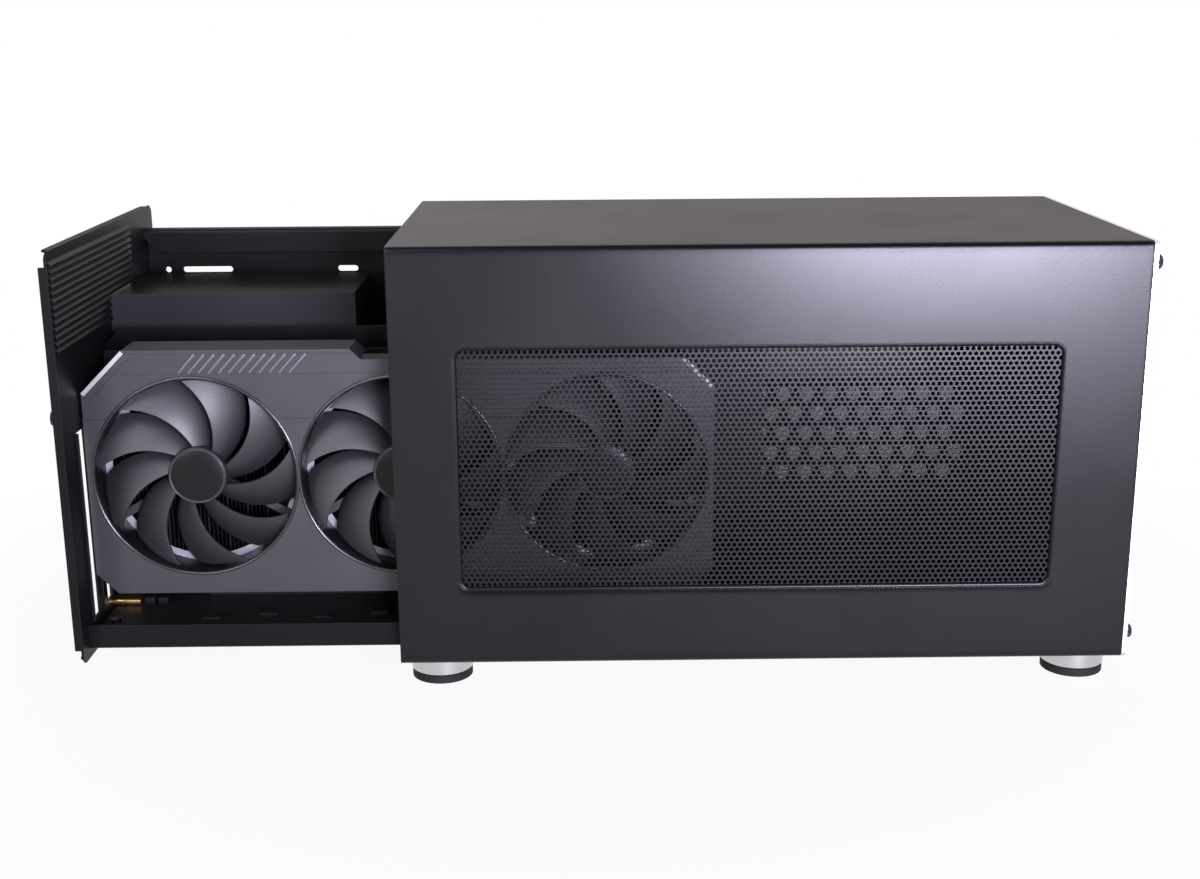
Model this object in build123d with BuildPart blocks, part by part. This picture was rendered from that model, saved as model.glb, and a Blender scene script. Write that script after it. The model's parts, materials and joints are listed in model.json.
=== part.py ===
from build123d import *
import math
import os

# Driving dimensions in millimetres.
# Places are given from the cover: x from its open end, y from its front face, z from its underside.

# Clearances
slide_gap = 0.3
press_gap = 0.1
running_gap = 0.05
screw_gap = 0.1

# Cover: one sheet folded round the top and both sides, with lower flanges turned in
cover_length = 340.0
cover_depth = 180.0
cover_height = 197.0
cover_sheet = 1.5
cover_fold = 2.5
cover_flange = 34.0

# Window in the front wall and the perforated sheet behind it
window_length = 274.5
window_height = 114.5
window_left = 29.0
window_rise = 36.8
window_corner = 5.0
mesh_sheet = 1.0
mesh_margin = 6.0
mesh_pitch = 17.0
mesh_web = 3.0

# Honeycomb vent in the back wall
vent_pitch = 13.2
vent_hole = 8.0
vent_columns = 19
vent_rows = 5
vent_end = 47.4
vent_rise = 63.6

# Base plate and the rails that the chassis runs on
base_sheet = 1.5
base_setback = 4.0
rail_sheet = 1.5
rail_width = 5.5
rail_height = 9.0

# End plate, held by thumb screws in tabs of the cover
end_plate_sheet = 2.0
end_tab_height = 14.0
end_screw_inset_y = 8.0
end_screw_inset_z = 10.3
end_screw_radius = 1.5
end_screw_grip = 2.0
end_head_radius = 3.2
end_head_length = 4.0
end_head_edge = 0.5

# Feet: turned discs with a rubber pad pressed in from below
foot_radius = 14.75
foot_edge = 1.0
foot_inset = 18.0
foot_height = 11.5
pad_radius = 14.4
pad_drop = 3.5
pad_spigot_radius = 13.0
pad_spigot = 2.0
pad_bore = 6.0
foot_screw_radius = 2.0
foot_screw_tip = 0.8
foot_head_radius = 4.0
foot_head_depth = 3.0

# Chassis: drawn out of the cover as in the picture
drawn_out = 148.5
closed_gap = 0.3
tail_gap = 3.5
tray_inset = 11.0
tray_sheet = 1.2
tray_bend = 1.5
tray_lip = 12.0
tray_wall_top = 185.0
tray_rail_drop = 12.5
tray_rail_width = 9.0
tray_rail_chamfer = 8.0
tray_slot_rise = 162.0
tray_slot_height = 3.2
tray_long_slot = 27.0
tray_long_slot_x = 31.5
tray_short_slot = 11.0
tray_short_slot_x = 107.7
tray_hole_radius = 1.6
tray_hole_x = 10.0

# Rear panel: a folded sheet with edges turned outwards and louvres pressed inwards
panel_sheet = 1.2
panel_inset = 1.0
panel_flange = 4.0
panel_relief = 7.0
panel_corner = 3.0
slit_rows = 13
slit_pitch = 3.25
slit_width = 1.6
slit_rise = 150.5
slit_front = 6.5
slit_back = 132.0
louvre_reach = 1.4
louvre_rise = 0.9
louvre_over = 4.0

# Expansion slots, at the standard pitch
slot_count = 3
slot_pitch = 20.32
slot_first = 25.0
slot_width = 12.1
slot_rise = 16.4
slot_height = 92.5
rear_screw_above = 6.0
rear_screw_radius = 1.6
rear_head_radius = 4.2
rear_head_length = 11.0
rear_head_edge = 0.6

# Interface board and what stands on it
board_sheet = 1.6
board_length = 190.0
board_depth = 104.0
board_front = 24.0
board_setback = 1.5
standoff_height = 4.0
standoff_radius = 2.6
standoff_inset = 6.0
board_screw_radius = 1.3
board_head_radius = 2.6
board_head_height = 1.6
connector_length = 89.0
connector_width = 7.5
connector_height = 11.0
connector_groove = 8.0
controller_side = 24.0
controller_height = 6.0
controller_x = 120.0
controller_y = 100.0
port_width = 9.0
port_height = 3.3
port_depth = 16.0
port_wall = 0.4
port_y = 55.5
port_proud = 1.0

# Graphics card
card_front = 28.0
card_lift = 4.2
card_height = 119.0
card_gap = 0.1
fan_pitch = 97.0
fan_rise = 58.0
fan_opening = 47.5
fan_end_margin = 3.5
shroud_wall = 2.0
shroud_depth = 22.0
shroud_chamfer = 20.0
shroud_right_chamfer = 14.0
shroud_low_chamfer = 10.0
exhaust_depth = 9.0
exhaust_margin = 30.0
duct_wall = 0.7
post_radius = 2.0
post_rise = 40.0
groove_count = 12
groove_pitch = 4.7
groove_width = 1.5
groove_length = 12.5
groove_depth = 0.6
groove_lean = 48.0
groove_left = 50.0
groove_drop = 6.5
line_width = 0.6
line_depth = 0.4
line_drops = (2.0, 11.6)
step_rise = 86.0
step_proud = 0.8
rim_width = 1.4
rim_proud = 1.0
trim_width = 2.0
trim_proud = 0.5
trim_band = 5.0
notch_left = 126.0
notch_depth = 5.0

# Card fans
rotor_gap = 1.2
rotor_setback = 1.5
hub_radius = 13.8
hub_wall = 1.6
hub_depth = 11.0
hub_edge = 0.8
shaft_radius = 1.5
shaft_below = 3.0
blade_count = 9
blade_sweep = 43.0
blade_sheet = 1.3
blade_fill = 0.84
blade_root_pitch = 40.0
blade_tip_pitch = 20.0
blade_camber = 0.07
stator_gap = 1.6
stator_sheet = 3.0
stator_core_gap = 1.5
strut_count = 3
strut_width = 4.0

# Heat sink, card board and back plate
fins_per_fan = 10
fin_sheet = 1.0
fin_depth = 18.0
fin_gap = 0.6
fin_side = 7.5
fin_low = 7.0
fin_high = 18.0
cold_plate = 3.0
die_side = 34.0
die_height = 1.5
card_sheet = 1.6
card_board_length = 262.0
card_board_top = 8.0
finger_start = 46.0
finger_length = 85.0
backplate_gap = 2.4
backplate_sheet = 1.5
backplate_above = 2.3
backplate_chamfer = 8.0
boss_radius = 2.5
boss_span_x = 180.0
boss_span_z = 70.0
die_x = 110.0
bracket_sheet = 0.9
bracket_below = 1.0
bracket_above = 14.0
bracket_margin = 3.4
bracket_vent_count = 7
bracket_vent_height = 9.0
bracket_vent_width = 8.0
display_count = 4
display_pitch = 21.5
display_width = 16.5
display_height = 5.6
display_depth = 8.0
display_proud = 1.5
display_wall = 0.5
display_tongue = 1.6
display_tongue_width = 11.0
socket_x = 150.0
socket_length = 20.0
socket_depth = 8.0
socket_height = 12.0
socket_chamber = 3.4
socket_chamber_depth = 6.0
socket_columns = 4

# Power supply, midway between the card and the back wall
psu_rise = 37.0
psu_length = 122.0
psu_thickness = 63.5
psu_height = 125.0
psu_sheet = 1.2
psu_margin = 3.5
psu_corner = 15.0
psu_screw_inset = 6.0
psu_screw_radius = 1.6
psu_screw_grip = 4.0
psu_head_radius = 3.2
psu_head_height = 2.0
psu_fan_side = 92.0
psu_fan_setback = 1.0
psu_fan_opening = 44.0
psu_rotor_gap = 1.0
psu_guard_wire = 1.0
psu_guard_rings = 4
psu_vent_pitch = 8.0
psu_vent_hole = 6.0
psu_vent_columns = 6
psu_vent_rows = 7
psu_vent_rise = 82.0
inlet_y = 21.0
inlet_rise = 28.0
inlet_width = 27.5
inlet_height = 20.0
inlet_depth = 16.0
inlet_wall = 2.0
inlet_floor = 2.0
inlet_pin_width = 1.0
inlet_pin_height = 4.0
inlet_pin_spread = 7.0
inlet_pin_length = 10.0
inlet_flange = 1.6
switch_y = 49.0
switch_width = 15.0
switch_height = 24.0
switch_depth = 14.0
switch_wall = 2.0
rocker_reach = 5.6
rocker_waist = 4.4
rocker_back = 2.5
rocker_half = 7.4
rocker_tilt = 9.0
rocker_pin_radius = 1.0

# The frame: origin under the middle of the whole, on the floor, with the chassis drawn out
overall_left = -(drawn_out + panel_sheet + rear_head_length)
overall_right = cover_length + end_plate_sheet + end_head_length
cover_left = -(overall_left + overall_right) / 2
cover_right = cover_left + cover_length
cover_mid = cover_left + cover_length / 2
cover_front = -cover_depth / 2
cover_back = cover_depth / 2
cover_base = foot_height
cover_middle = cover_base + cover_height / 2
window_x = cover_left + window_left + window_length / 2
window_z = cover_base + window_rise + window_height / 2
foot_span_x = cover_length - 2 * foot_inset
foot_span_y = cover_depth - 2 * foot_inset
end_screw_span_y = cover_depth - 2 * end_screw_inset_y
end_screw_span_z = cover_height - 2 * end_screw_inset_z
base_z = cover_base + cover_sheet
base_top = base_z + base_sheet
tray_z = base_top + rail_sheet + slide_gap
tray_floor = tray_z + tray_sheet
tray_front = cover_front + tray_inset
tray_back = cover_back - tray_inset
panel_x = cover_left - drawn_out
chassis_length = cover_length - closed_gap - tail_gap
board_z = tray_floor + standoff_height
board_top = board_z + board_sheet
card_board_z = board_top + connector_height + card_gap
card_z = card_board_z + card_lift
card_top = card_z + card_height
card_mid_z = card_z + card_height / 2
fan_z = card_z + fan_rise
card_x = panel_x + bracket_sheet + card_gap
card_length = 2 * fan_pitch + 2 * (fan_opening + fan_end_margin)
card_mid_x = card_x + card_length / 2
card_y = cover_front + card_front
fan_xs = [card_mid_x + step * fan_pitch for step in (-1, 0, 1)]
duct_depth = rotor_setback + hub_depth + stator_gap
rotor_y = card_y + rotor_setback
stator_y = card_y + duct_depth
fin_front = stator_y + stator_sheet + fin_gap
fin_back = fin_front + fin_depth
die_front = fin_back + cold_plate
card_board_y = die_front + die_height
card_board_back = card_board_y + card_sheet
backplate_y = card_board_back + backplate_gap
psu_y = (backplate_y + backplate_sheet + tray_back - psu_thickness) / 2
psu_z = cover_base + psu_rise
psu_mid_x = panel_x + psu_length / 2
psu_mid_y = psu_y + psu_thickness / 2
psu_mid_z = psu_z + psu_height / 2
psu_back = psu_y + psu_thickness
slot_ys = [cover_front + slot_first + step * slot_pitch for step in range(slot_count)]
slot_z = cover_base + slot_rise + slot_height / 2
slot_top = cover_base + slot_rise + slot_height
rear_screw_z = slot_top + rear_screw_above
board_x = panel_x + board_setback
board_mid_x = board_x + board_length / 2
board_mid_y = cover_front + board_front + board_depth / 2
standoff_span_x = board_length - 2 * standoff_inset
standoff_span_y = board_depth - 2 * standoff_inset
connector_x = card_x + finger_start + finger_length / 2
connector_y = card_board_y + card_sheet / 2
finger_low = board_top + connector_height - connector_groove + card_gap
inlet_z = psu_z + inlet_rise
switch_x = panel_x + rocker_waist
rocker_corner = math.hypot(rocker_reach, rocker_half)


def facing_front(y):
    """Upright plane at depth y: x to the right, z up, normal towards the front."""
    return Plane.XZ.offset(-y)


def facing_end(x):
    """Upright plane at x: y to the right, z up, normal along +x."""
    return Plane.YZ.offset(x)


def level(z):
    """Flat plane at height z."""
    return Plane.XY.offset(z)


def honeycomb(pitch, columns, even_columns, rows, across):
    """Hexagons in staggered rows; every second row has its own number of columns."""
    row_step = pitch * math.sqrt(3) / 2
    with GridLocations(pitch, 2 * row_step, columns, (rows + 1) // 2):
        RegularPolygon(across / 2, 6, major_radius=False, rotation=30)
    with GridLocations(pitch, 2 * row_step, even_columns, rows // 2):
        RegularPolygon(across / 2, 6, major_radius=False, rotation=30)


def blade_section(radius, share, tip_pitch, root_pitch, depth):
    """Plane and chord of a blade's section at a radius, share 0 at the hub and 1 at the tip."""
    turn = math.radians(blade_sweep) * share
    pitch = math.radians(root_pitch + (tip_pitch - root_pitch) * share)
    outward = Vector(math.cos(turn), 0, math.sin(turn))
    along = Vector(-math.sin(turn), 0, math.cos(turn))
    chord_dir = along * math.cos(pitch) - Vector(0, 1, 0) * math.sin(pitch)
    chord = blade_fill * 2 * math.pi * radius / blade_count / math.cos(pitch)
    middle = outward * radius + Vector(0, depth / 2, 0)
    return Plane(origin=middle, x_dir=chord_dir, z_dir=outward), chord


def fan_rotor(tip_radius):
    """Fan rotor about the y axis: a hub cup with its shaft, and swept blades. Its front is at y 0."""
    radii = [hub_radius - hub_wall / 2, (hub_radius + tip_radius) / 2, tip_radius + rotor_gap]
    with BuildPart() as blade:
        for radius in radii:
            share = (radius - radii[0]) / (radii[-1] - radii[0])
            plane, chord = blade_section(radius, share, blade_tip_pitch, blade_root_pitch, hub_depth)
            rise = chord * blade_camber
            with BuildSketch(plane):
                with BuildLine():
                    ThreePointArc((-chord / 2, 0), (0, rise), (chord / 2, 0))
                    Line((chord / 2, 0), (chord / 2, -blade_sheet))
                    ThreePointArc((chord / 2, -blade_sheet), (0, rise - blade_sheet), (-chord / 2, -blade_sheet))
                    Line((-chord / 2, -blade_sheet), (-chord / 2, 0))
                make_face()
        loft()
        with BuildSketch(facing_front(-hub_depth)):
            Circle(tip_radius)
        extrude(amount=-3 * hub_depth, mode=Mode.INTERSECT)
    with BuildPart() as rotor:
        for step in range(blade_count):
            add(blade.part, rotation=(0, 360 * step / blade_count, 0))
        with BuildSketch(Plane.XY):
            with Locations((0, hub_wall)):
                Rectangle(hub_radius - hub_wall, hub_depth, align=(Align.MIN, Align.MIN))
        revolve(axis=Axis.Y, mode=Mode.SUBTRACT)
        with BuildSketch(Plane.XY):
            with BuildLine():
                Polyline(
                    (0, 0),
                    (hub_radius - hub_edge, 0),
                    (hub_radius, hub_edge),
                    (hub_radius, hub_depth),
                    (hub_radius - hub_wall, hub_depth),
                    (hub_radius - hub_wall, hub_wall),
                    (shaft_radius, hub_wall),
                    (shaft_radius, hub_depth + shaft_below),
                    (0, hub_depth + shaft_below),
                    close=True,
                )
            make_face()
        revolve(axis=Axis.Y)
    return rotor.part


def fan_stator(strut_reach):
    """Motor base about the y axis: core with the shaft's bearing, disc, and struts out to the frame."""
    disc_front = hub_depth + stator_gap
    core_radius = hub_radius - hub_wall - stator_core_gap
    with BuildPart() as stator:
        with BuildSketch(facing_front(disc_front)):
            Circle(hub_radius)
            with PolarLocations(0, strut_count, start_angle=90):
                Rectangle(strut_reach, strut_width, align=(Align.MIN, Align.CENTER))
        extrude(amount=-stator_sheet)
        with BuildSketch(facing_front(disc_front)):
            Circle(core_radius)
        extrude(amount=disc_front - hub_wall - stator_core_gap)
        with BuildSketch(facing_front(disc_front - hub_depth)):
            Circle(shaft_radius + running_gap)
        extrude(amount=-(hub_depth + 2 * stator_sheet), mode=Mode.SUBTRACT)
    return stator.part


os.makedirs("parts", exist_ok=True)

# Outer cover
with BuildPart() as outer_cover:
    with BuildSketch(facing_end(cover_left)):
        with Locations((0, cover_middle)):
            RectangleRounded(cover_depth, cover_height, cover_fold)
            RectangleRounded(
                cover_depth - 2 * cover_sheet,
                cover_height - 2 * cover_sheet,
                cover_fold - cover_sheet,
                mode=Mode.SUBTRACT,
            )
        with Locations((0, cover_base)):
            Rectangle(cover_depth - 2 * cover_flange, 4 * cover_sheet, mode=Mode.SUBTRACT)
    extrude(amount=cover_length)
    with BuildSketch(facing_end(cover_right)):
        with Locations((0, cover_middle)):
            with GridLocations(end_screw_span_y, end_screw_span_z, 2, 2):
                Rectangle(2 * end_screw_inset_y, end_tab_height)
    extrude(amount=-cover_sheet)
    with BuildSketch(facing_end(cover_right)):
        with Locations((0, cover_middle)):
            with GridLocations(end_screw_span_y, end_screw_span_z, 2, 2):
                Circle(end_screw_radius + screw_gap)
    extrude(amount=-cover_sheet, mode=Mode.SUBTRACT)
    with BuildSketch(facing_front(cover_front)):
        with Locations((window_x, window_z)):
            RectangleRounded(window_length, window_height, window_corner)
    extrude(amount=-cover_sheet, mode=Mode.SUBTRACT)
    with BuildSketch(facing_front(cover_back)):
        vent_x = cover_right - vent_end - vent_pitch * (vent_columns - 1) / 2
        with Locations((vent_x, cover_base + vent_rise)):
            honeycomb(vent_pitch, vent_columns, vent_columns + 1, vent_rows, vent_hole)
    extrude(amount=cover_sheet, mode=Mode.SUBTRACT)
    with BuildSketch(level(cover_base)):
        with Locations((cover_mid, 0)):
            with GridLocations(foot_span_x, foot_span_y, 2, 2):
                Circle(foot_screw_radius + screw_gap)
    extrude(amount=cover_sheet, mode=Mode.SUBTRACT)
outer_cover.part.label = "outer_cover"
export_step(outer_cover.part, "parts/outer_cover.step")

# Perforated sheet behind the window
with BuildPart() as window_mesh:
    with BuildSketch(facing_front(cover_front + cover_sheet)):
        with Locations((window_x, window_z)):
            Rectangle(window_length + 2 * mesh_margin, window_height + 2 * mesh_margin)
    extrude(amount=-mesh_sheet)
    mesh_columns = int(window_length // mesh_pitch)
    with BuildSketch(facing_front(cover_front + cover_sheet)):
        with Locations((window_x, window_z)):
            honeycomb(
                mesh_pitch,
                mesh_columns,
                mesh_columns - 1,
                int((window_height - mesh_pitch) / (mesh_pitch * math.sqrt(3) / 2)) + 1,
                mesh_pitch - mesh_web,
            )
    extrude(amount=-mesh_sheet, mode=Mode.SUBTRACT)
window_mesh.part.label = "window_mesh"
export_step(window_mesh.part, "parts/window_mesh.step")

# Base plate, on the cover's lower flanges
with BuildPart() as base_plate:
    with BuildSketch(level(base_z)):
        with Locations((cover_mid, 0)):
            Rectangle(cover_length - 2 * base_setback, cover_depth - 2 * (cover_fold + press_gap))
            with GridLocations(foot_span_x, foot_span_y, 2, 2):
                Circle(foot_screw_radius + screw_gap, mode=Mode.SUBTRACT)
    extrude(amount=base_sheet)
base_plate.part.label = "base_plate"
export_step(base_plate.part, "parts/base_plate.step")

# Guide rails: two angles on the base plate
with BuildPart() as guide_rails:
    rail_front = tray_front - slide_gap - rail_sheet
    with BuildSketch(facing_end(cover_left + base_setback)):
        with BuildLine():
            Polyline(
                (rail_front, base_top),
                (rail_front, base_top + rail_height),
                (rail_front + rail_sheet, base_top + rail_height),
                (rail_front + rail_sheet, base_top + rail_sheet),
                (rail_front + rail_width, base_top + rail_sheet),
                (rail_front + rail_width, base_top),
                close=True,
            )
        make_face()
        mirror(about=Plane.YZ)
    extrude(amount=cover_length - 2 * base_setback)
guide_rails.part.label = "guide_rails"
export_step(guide_rails.part, "parts/guide_rails.step")

# End plate
with BuildPart() as end_plate:
    with BuildSketch(facing_end(cover_right)):
        with Locations((0, cover_middle)):
            RectangleRounded(cover_depth, cover_height, cover_fold)
            with GridLocations(end_screw_span_y, end_screw_span_z, 2, 2):
                Circle(end_screw_radius + screw_gap, mode=Mode.SUBTRACT)
    extrude(amount=end_plate_sheet)
end_plate.part.label = "end_plate"
export_step(end_plate.part, "parts/end_plate.step")

# Thumb screws of the end plate
with BuildPart() as end_thumbscrews:
    with BuildSketch(facing_end(cover_right + end_plate_sheet)):
        with Locations((0, cover_middle)):
            with GridLocations(end_screw_span_y, end_screw_span_z, 2, 2):
                Circle(end_head_radius)
    extrude(amount=end_head_length)
    chamfer(end_thumbscrews.faces().group_by(Axis.X)[-1].edges(), end_head_edge)
    with BuildSketch(facing_end(cover_right + end_plate_sheet)):
        with Locations((0, cover_middle)):
            with GridLocations(end_screw_span_y, end_screw_span_z, 2, 2):
                Circle(end_screw_radius)
    extrude(amount=-(end_plate_sheet + cover_sheet + end_screw_grip))
end_thumbscrews.part.label = "end_thumbscrews"
export_step(end_thumbscrews.part, "parts/end_thumbscrews.step")

# Feet
with BuildPart() as feet:
    with BuildSketch(level(pad_drop)):
        with Locations((cover_mid, 0)):
            with GridLocations(foot_span_x, foot_span_y, 2, 2):
                Circle(foot_radius)
    extrude(amount=foot_height - pad_drop)
    chamfer(feet.faces().group_by(Axis.Z)[0].edges(), foot_edge)
    with BuildSketch(level(pad_drop)):
        with Locations((cover_mid, 0)):
            with GridLocations(foot_span_x, foot_span_y, 2, 2):
                Circle(pad_spigot_radius + press_gap)
    extrude(amount=pad_spigot, mode=Mode.SUBTRACT)
    with BuildSketch(level(pad_drop)):
        with Locations((cover_mid, 0)):
            with GridLocations(foot_span_x, foot_span_y, 2, 2):
                Circle(foot_head_radius + press_gap)
    extrude(amount=pad_spigot + foot_head_depth, mode=Mode.SUBTRACT)
    with BuildSketch(level(pad_drop)):
        with Locations((cover_mid, 0)):
            with GridLocations(foot_span_x, foot_span_y, 2, 2):
                Circle(foot_screw_radius + screw_gap)
    extrude(amount=foot_height, mode=Mode.SUBTRACT)
feet.part.label = "feet"
export_step(feet.part, "parts/feet.step")

# Rubber pads under the feet
with BuildPart() as foot_pads:
    with BuildSketch(level(0)):
        with Locations((cover_mid, 0)):
            with GridLocations(foot_span_x, foot_span_y, 2, 2):
                Circle(pad_radius)
    extrude(amount=pad_drop)
    with BuildSketch(level(pad_drop)):
        with Locations((cover_mid, 0)):
            with GridLocations(foot_span_x, foot_span_y, 2, 2):
                Circle(pad_spigot_radius)
    extrude(amount=pad_spigot)
    with BuildSketch(level(0)):
        with Locations((cover_mid, 0)):
            with GridLocations(foot_span_x, foot_span_y, 2, 2):
                Circle(pad_bore)
    extrude(amount=pad_drop + pad_spigot, mode=Mode.SUBTRACT)
foot_pads.part.label = "foot_pads"
export_step(foot_pads.part, "parts/foot_pads.step")

# Screws that hold the feet and the base plate
with BuildPart() as foot_screws:
    with BuildSketch(level(pad_drop + pad_spigot)):
        with Locations((cover_mid, 0)):
            with GridLocations(foot_span_x, foot_span_y, 2, 2):
                Circle(foot_head_radius)
    extrude(amount=foot_head_depth)
    with BuildSketch(level(pad_drop + pad_spigot + foot_head_depth)):
        with Locations((cover_mid, 0)):
            with GridLocations(foot_span_x, foot_span_y, 2, 2):
                Circle(foot_screw_radius)
    extrude(amount=base_top + foot_screw_tip - (pad_drop + pad_spigot + foot_head_depth))
foot_screws.part.label = "foot_screws"
export_step(foot_screws.part, "parts/foot_screws.step")

# Chassis tray: floor, front lip, back wall and its top rail folded from one sheet
with BuildPart() as chassis_tray:
    tray_half = tray_sheet / 2
    tray_top = cover_base + tray_wall_top
    with BuildSketch(facing_end(panel_x)):
        with BuildLine():
            FilletPolyline(
                (tray_front + tray_half, tray_z + tray_lip),
                (tray_front + tray_half, tray_z + tray_half),
                (tray_back - tray_half, tray_z + tray_half),
                (tray_back - tray_half, tray_top - tray_half),
                (tray_back - tray_rail_width, tray_top - tray_half),
                (tray_back - tray_rail_width, tray_top - tray_rail_drop),
                radius=tray_bend,
            )
        trace(line_width=tray_sheet)
    extrude(amount=chassis_length)
    with BuildSketch(facing_front(tray_back - tray_sheet)):
        with Locations((panel_x + tray_long_slot_x, cover_base + tray_slot_rise)):
            SlotOverall(tray_long_slot, tray_slot_height)
        with Locations((panel_x + tray_short_slot_x, cover_base + tray_slot_rise)):
            SlotOverall(tray_short_slot, tray_slot_height)
        with Locations((panel_x + tray_hole_x, cover_base + tray_slot_rise)):
            Circle(tray_hole_radius)
        with Locations((psu_mid_x, psu_mid_z)):
            Circle(psu_fan_opening)
    extrude(amount=-2 * tray_sheet, mode=Mode.SUBTRACT)
    with BuildSketch(facing_front(tray_back - tray_rail_width - tray_sheet)):
        with BuildLine():
            Polyline(
                (panel_x, tray_top - tray_rail_drop),
                (panel_x, tray_top - tray_rail_drop + tray_rail_chamfer),
                (panel_x + tray_rail_chamfer, tray_top - tray_rail_drop),
                close=True,
            )
        make_face()
    extrude(amount=-2 * tray_sheet, mode=Mode.SUBTRACT)
    with BuildSketch(level(tray_z)):
        with Locations((board_mid_x, board_mid_y)):
            with GridLocations(standoff_span_x, standoff_span_y, 2, 2):
                Circle(board_screw_radius + screw_gap)
    extrude(amount=tray_sheet, mode=Mode.SUBTRACT)
chassis_tray.part.label = "chassis_tray"
export_step(chassis_tray.part, "parts/chassis_tray.step")

# Rear panel
with BuildPart() as rear_panel:
    panel_depth = cover_depth - 2 * panel_inset
    panel_height = cover_height - 2 * panel_inset
    with BuildSketch(facing_end(panel_x)):
        with Locations((0, cover_middle)):
            Rectangle(panel_depth, panel_height)
            Rectangle(panel_depth - 2 * panel_sheet, panel_height - 2 * panel_sheet, mode=Mode.SUBTRACT)
            with GridLocations(panel_depth, panel_height, 2, 2):
                Rectangle(2 * panel_relief, 2 * panel_relief, mode=Mode.SUBTRACT)
    extrude(amount=-panel_flange)
    slits = []
    for row in range(slit_rows):
        slit_z = cover_base + slit_rise + row * slit_pitch
        slit_end = cover_front + slit_back if slit_z > psu_z + psu_height else psu_y - slit_width
        slits.append((slit_z, slit_end - cover_front - slit_front))
    with BuildSketch(facing_end(panel_x)):
        with Locations((0, cover_middle)):
            plate = Rectangle(panel_depth, panel_height)
            chamfer(plate.vertices(), panel_corner)
        for slit_z, slit_length in slits:
            with Locations((cover_front + slit_front + slit_length / 2, slit_z)):
                Rectangle(slit_length, slit_width, mode=Mode.SUBTRACT)
        for slot_y in slot_ys:
            with Locations((slot_y, slot_z)):
                Rectangle(slot_width, slot_height, mode=Mode.SUBTRACT)
            with Locations((slot_y, rear_screw_z)):
                Circle(rear_screw_radius + screw_gap, mode=Mode.SUBTRACT)
        with Locations((cover_front + port_y, board_top + port_height / 2)):
            RectangleRounded(
                port_width + 2 * slide_gap,
                port_height + 2 * slide_gap,
                port_height / 2,
                mode=Mode.SUBTRACT,
            )
        with BuildSketch(Plane.XY, mode=Mode.PRIVATE) as psu_mouth:
            Rectangle(psu_thickness - 2 * psu_margin, psu_height - 2 * psu_margin)
            chamfer(psu_mouth.vertices(), psu_corner - psu_margin)
        with Locations((psu_mid_y, psu_mid_z)):
            add(psu_mouth.sketch, mode=Mode.SUBTRACT)
            with GridLocations(
                psu_thickness - 2 * psu_screw_inset, psu_height - 2 * psu_screw_inset, 2, 2
            ):
                Circle(psu_screw_radius + screw_gap, mode=Mode.SUBTRACT)
    extrude(amount=-panel_sheet)
    for slit_z, slit_length in slits:
        slit_top = slit_z + slit_width / 2
        with BuildSketch(facing_front(cover_front + slit_front - louvre_over)):
            with BuildLine():
                Polyline(
                    (panel_x, slit_top),
                    (panel_x + louvre_reach, slit_top - louvre_reach),
                    (panel_x + louvre_reach, slit_top - louvre_reach + louvre_rise),
                    (panel_x, slit_top + louvre_rise),
                    close=True,
                )
            make_face()
        extrude(amount=-slit_length - louvre_over)
rear_panel.part.label = "rear_panel"
export_step(rear_panel.part, "parts/rear_panel.step")

# Thumb screws over the expansion slots
with BuildPart() as rear_thumbscrews:
    with BuildSketch(facing_end(panel_x - panel_sheet)):
        for slot_y in slot_ys:
            with Locations((slot_y, rear_screw_z)):
                Circle(rear_head_radius)
    extrude(amount=-rear_head_length)
    chamfer(rear_thumbscrews.faces().group_by(Axis.X)[0].edges(), rear_head_edge)
    with BuildSketch(facing_end(panel_x - panel_sheet)):
        for slot_y in slot_ys:
            with Locations((slot_y, rear_screw_z)):
                Circle(rear_screw_radius)
    extrude(amount=panel_sheet + bracket_sheet)
rear_thumbscrews.part.label = "rear_thumbscrews"
export_step(rear_thumbscrews.part, "parts/rear_thumbscrews.step")

# Standoffs under the interface board
with BuildPart() as board_standoffs:
    with BuildSketch(level(tray_floor)):
        with Locations((board_mid_x, board_mid_y)):
            with GridLocations(standoff_span_x, standoff_span_y, 2, 2):
                Circle(standoff_radius)
                Circle(board_screw_radius + screw_gap, mode=Mode.SUBTRACT)
    extrude(amount=standoff_height)
board_standoffs.part.label = "board_standoffs"
export_step(board_standoffs.part, "parts/board_standoffs.step")

# Interface board
with BuildPart() as interface_board:
    with BuildSketch(level(board_z)):
        with Locations((board_mid_x, board_mid_y)):
            Rectangle(board_length, board_depth)
            with GridLocations(standoff_span_x, standoff_span_y, 2, 2):
                Circle(board_screw_radius + screw_gap, mode=Mode.SUBTRACT)
    extrude(amount=board_sheet)
interface_board.part.label = "interface_board"
export_step(interface_board.part, "parts/interface_board.step")

# Screws of the interface board
with BuildPart() as board_screws:
    with BuildSketch(level(board_top)):
        with Locations((board_mid_x, board_mid_y)):
            with GridLocations(standoff_span_x, standoff_span_y, 2, 2):
                Circle(board_head_radius)
    extrude(amount=board_head_height)
    with BuildSketch(level(board_top)):
        with Locations((board_mid_x, board_mid_y)):
            with GridLocations(standoff_span_x, standoff_span_y, 2, 2):
                Circle(board_screw_radius)
    extrude(amount=-(board_sheet + standoff_height))
board_screws.part.label = "board_screws"
export_step(board_screws.part, "parts/board_screws.step")

# Slot connector that takes the card's edge
with BuildPart() as slot_connector:
    with BuildSketch(level(board_top)):
        with Locations((connector_x, connector_y)):
            Rectangle(connector_length, connector_width)
    extrude(amount=connector_height)
    with BuildSketch(level(board_top + connector_height)):
        with Locations((connector_x, connector_y)):
            Rectangle(finger_length + 2 * card_gap, card_sheet + 2 * card_gap)
    extrude(amount=-connector_groove, mode=Mode.SUBTRACT)
slot_connector.part.label = "slot_connector"
export_step(slot_connector.part, "parts/slot_connector.step")

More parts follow.
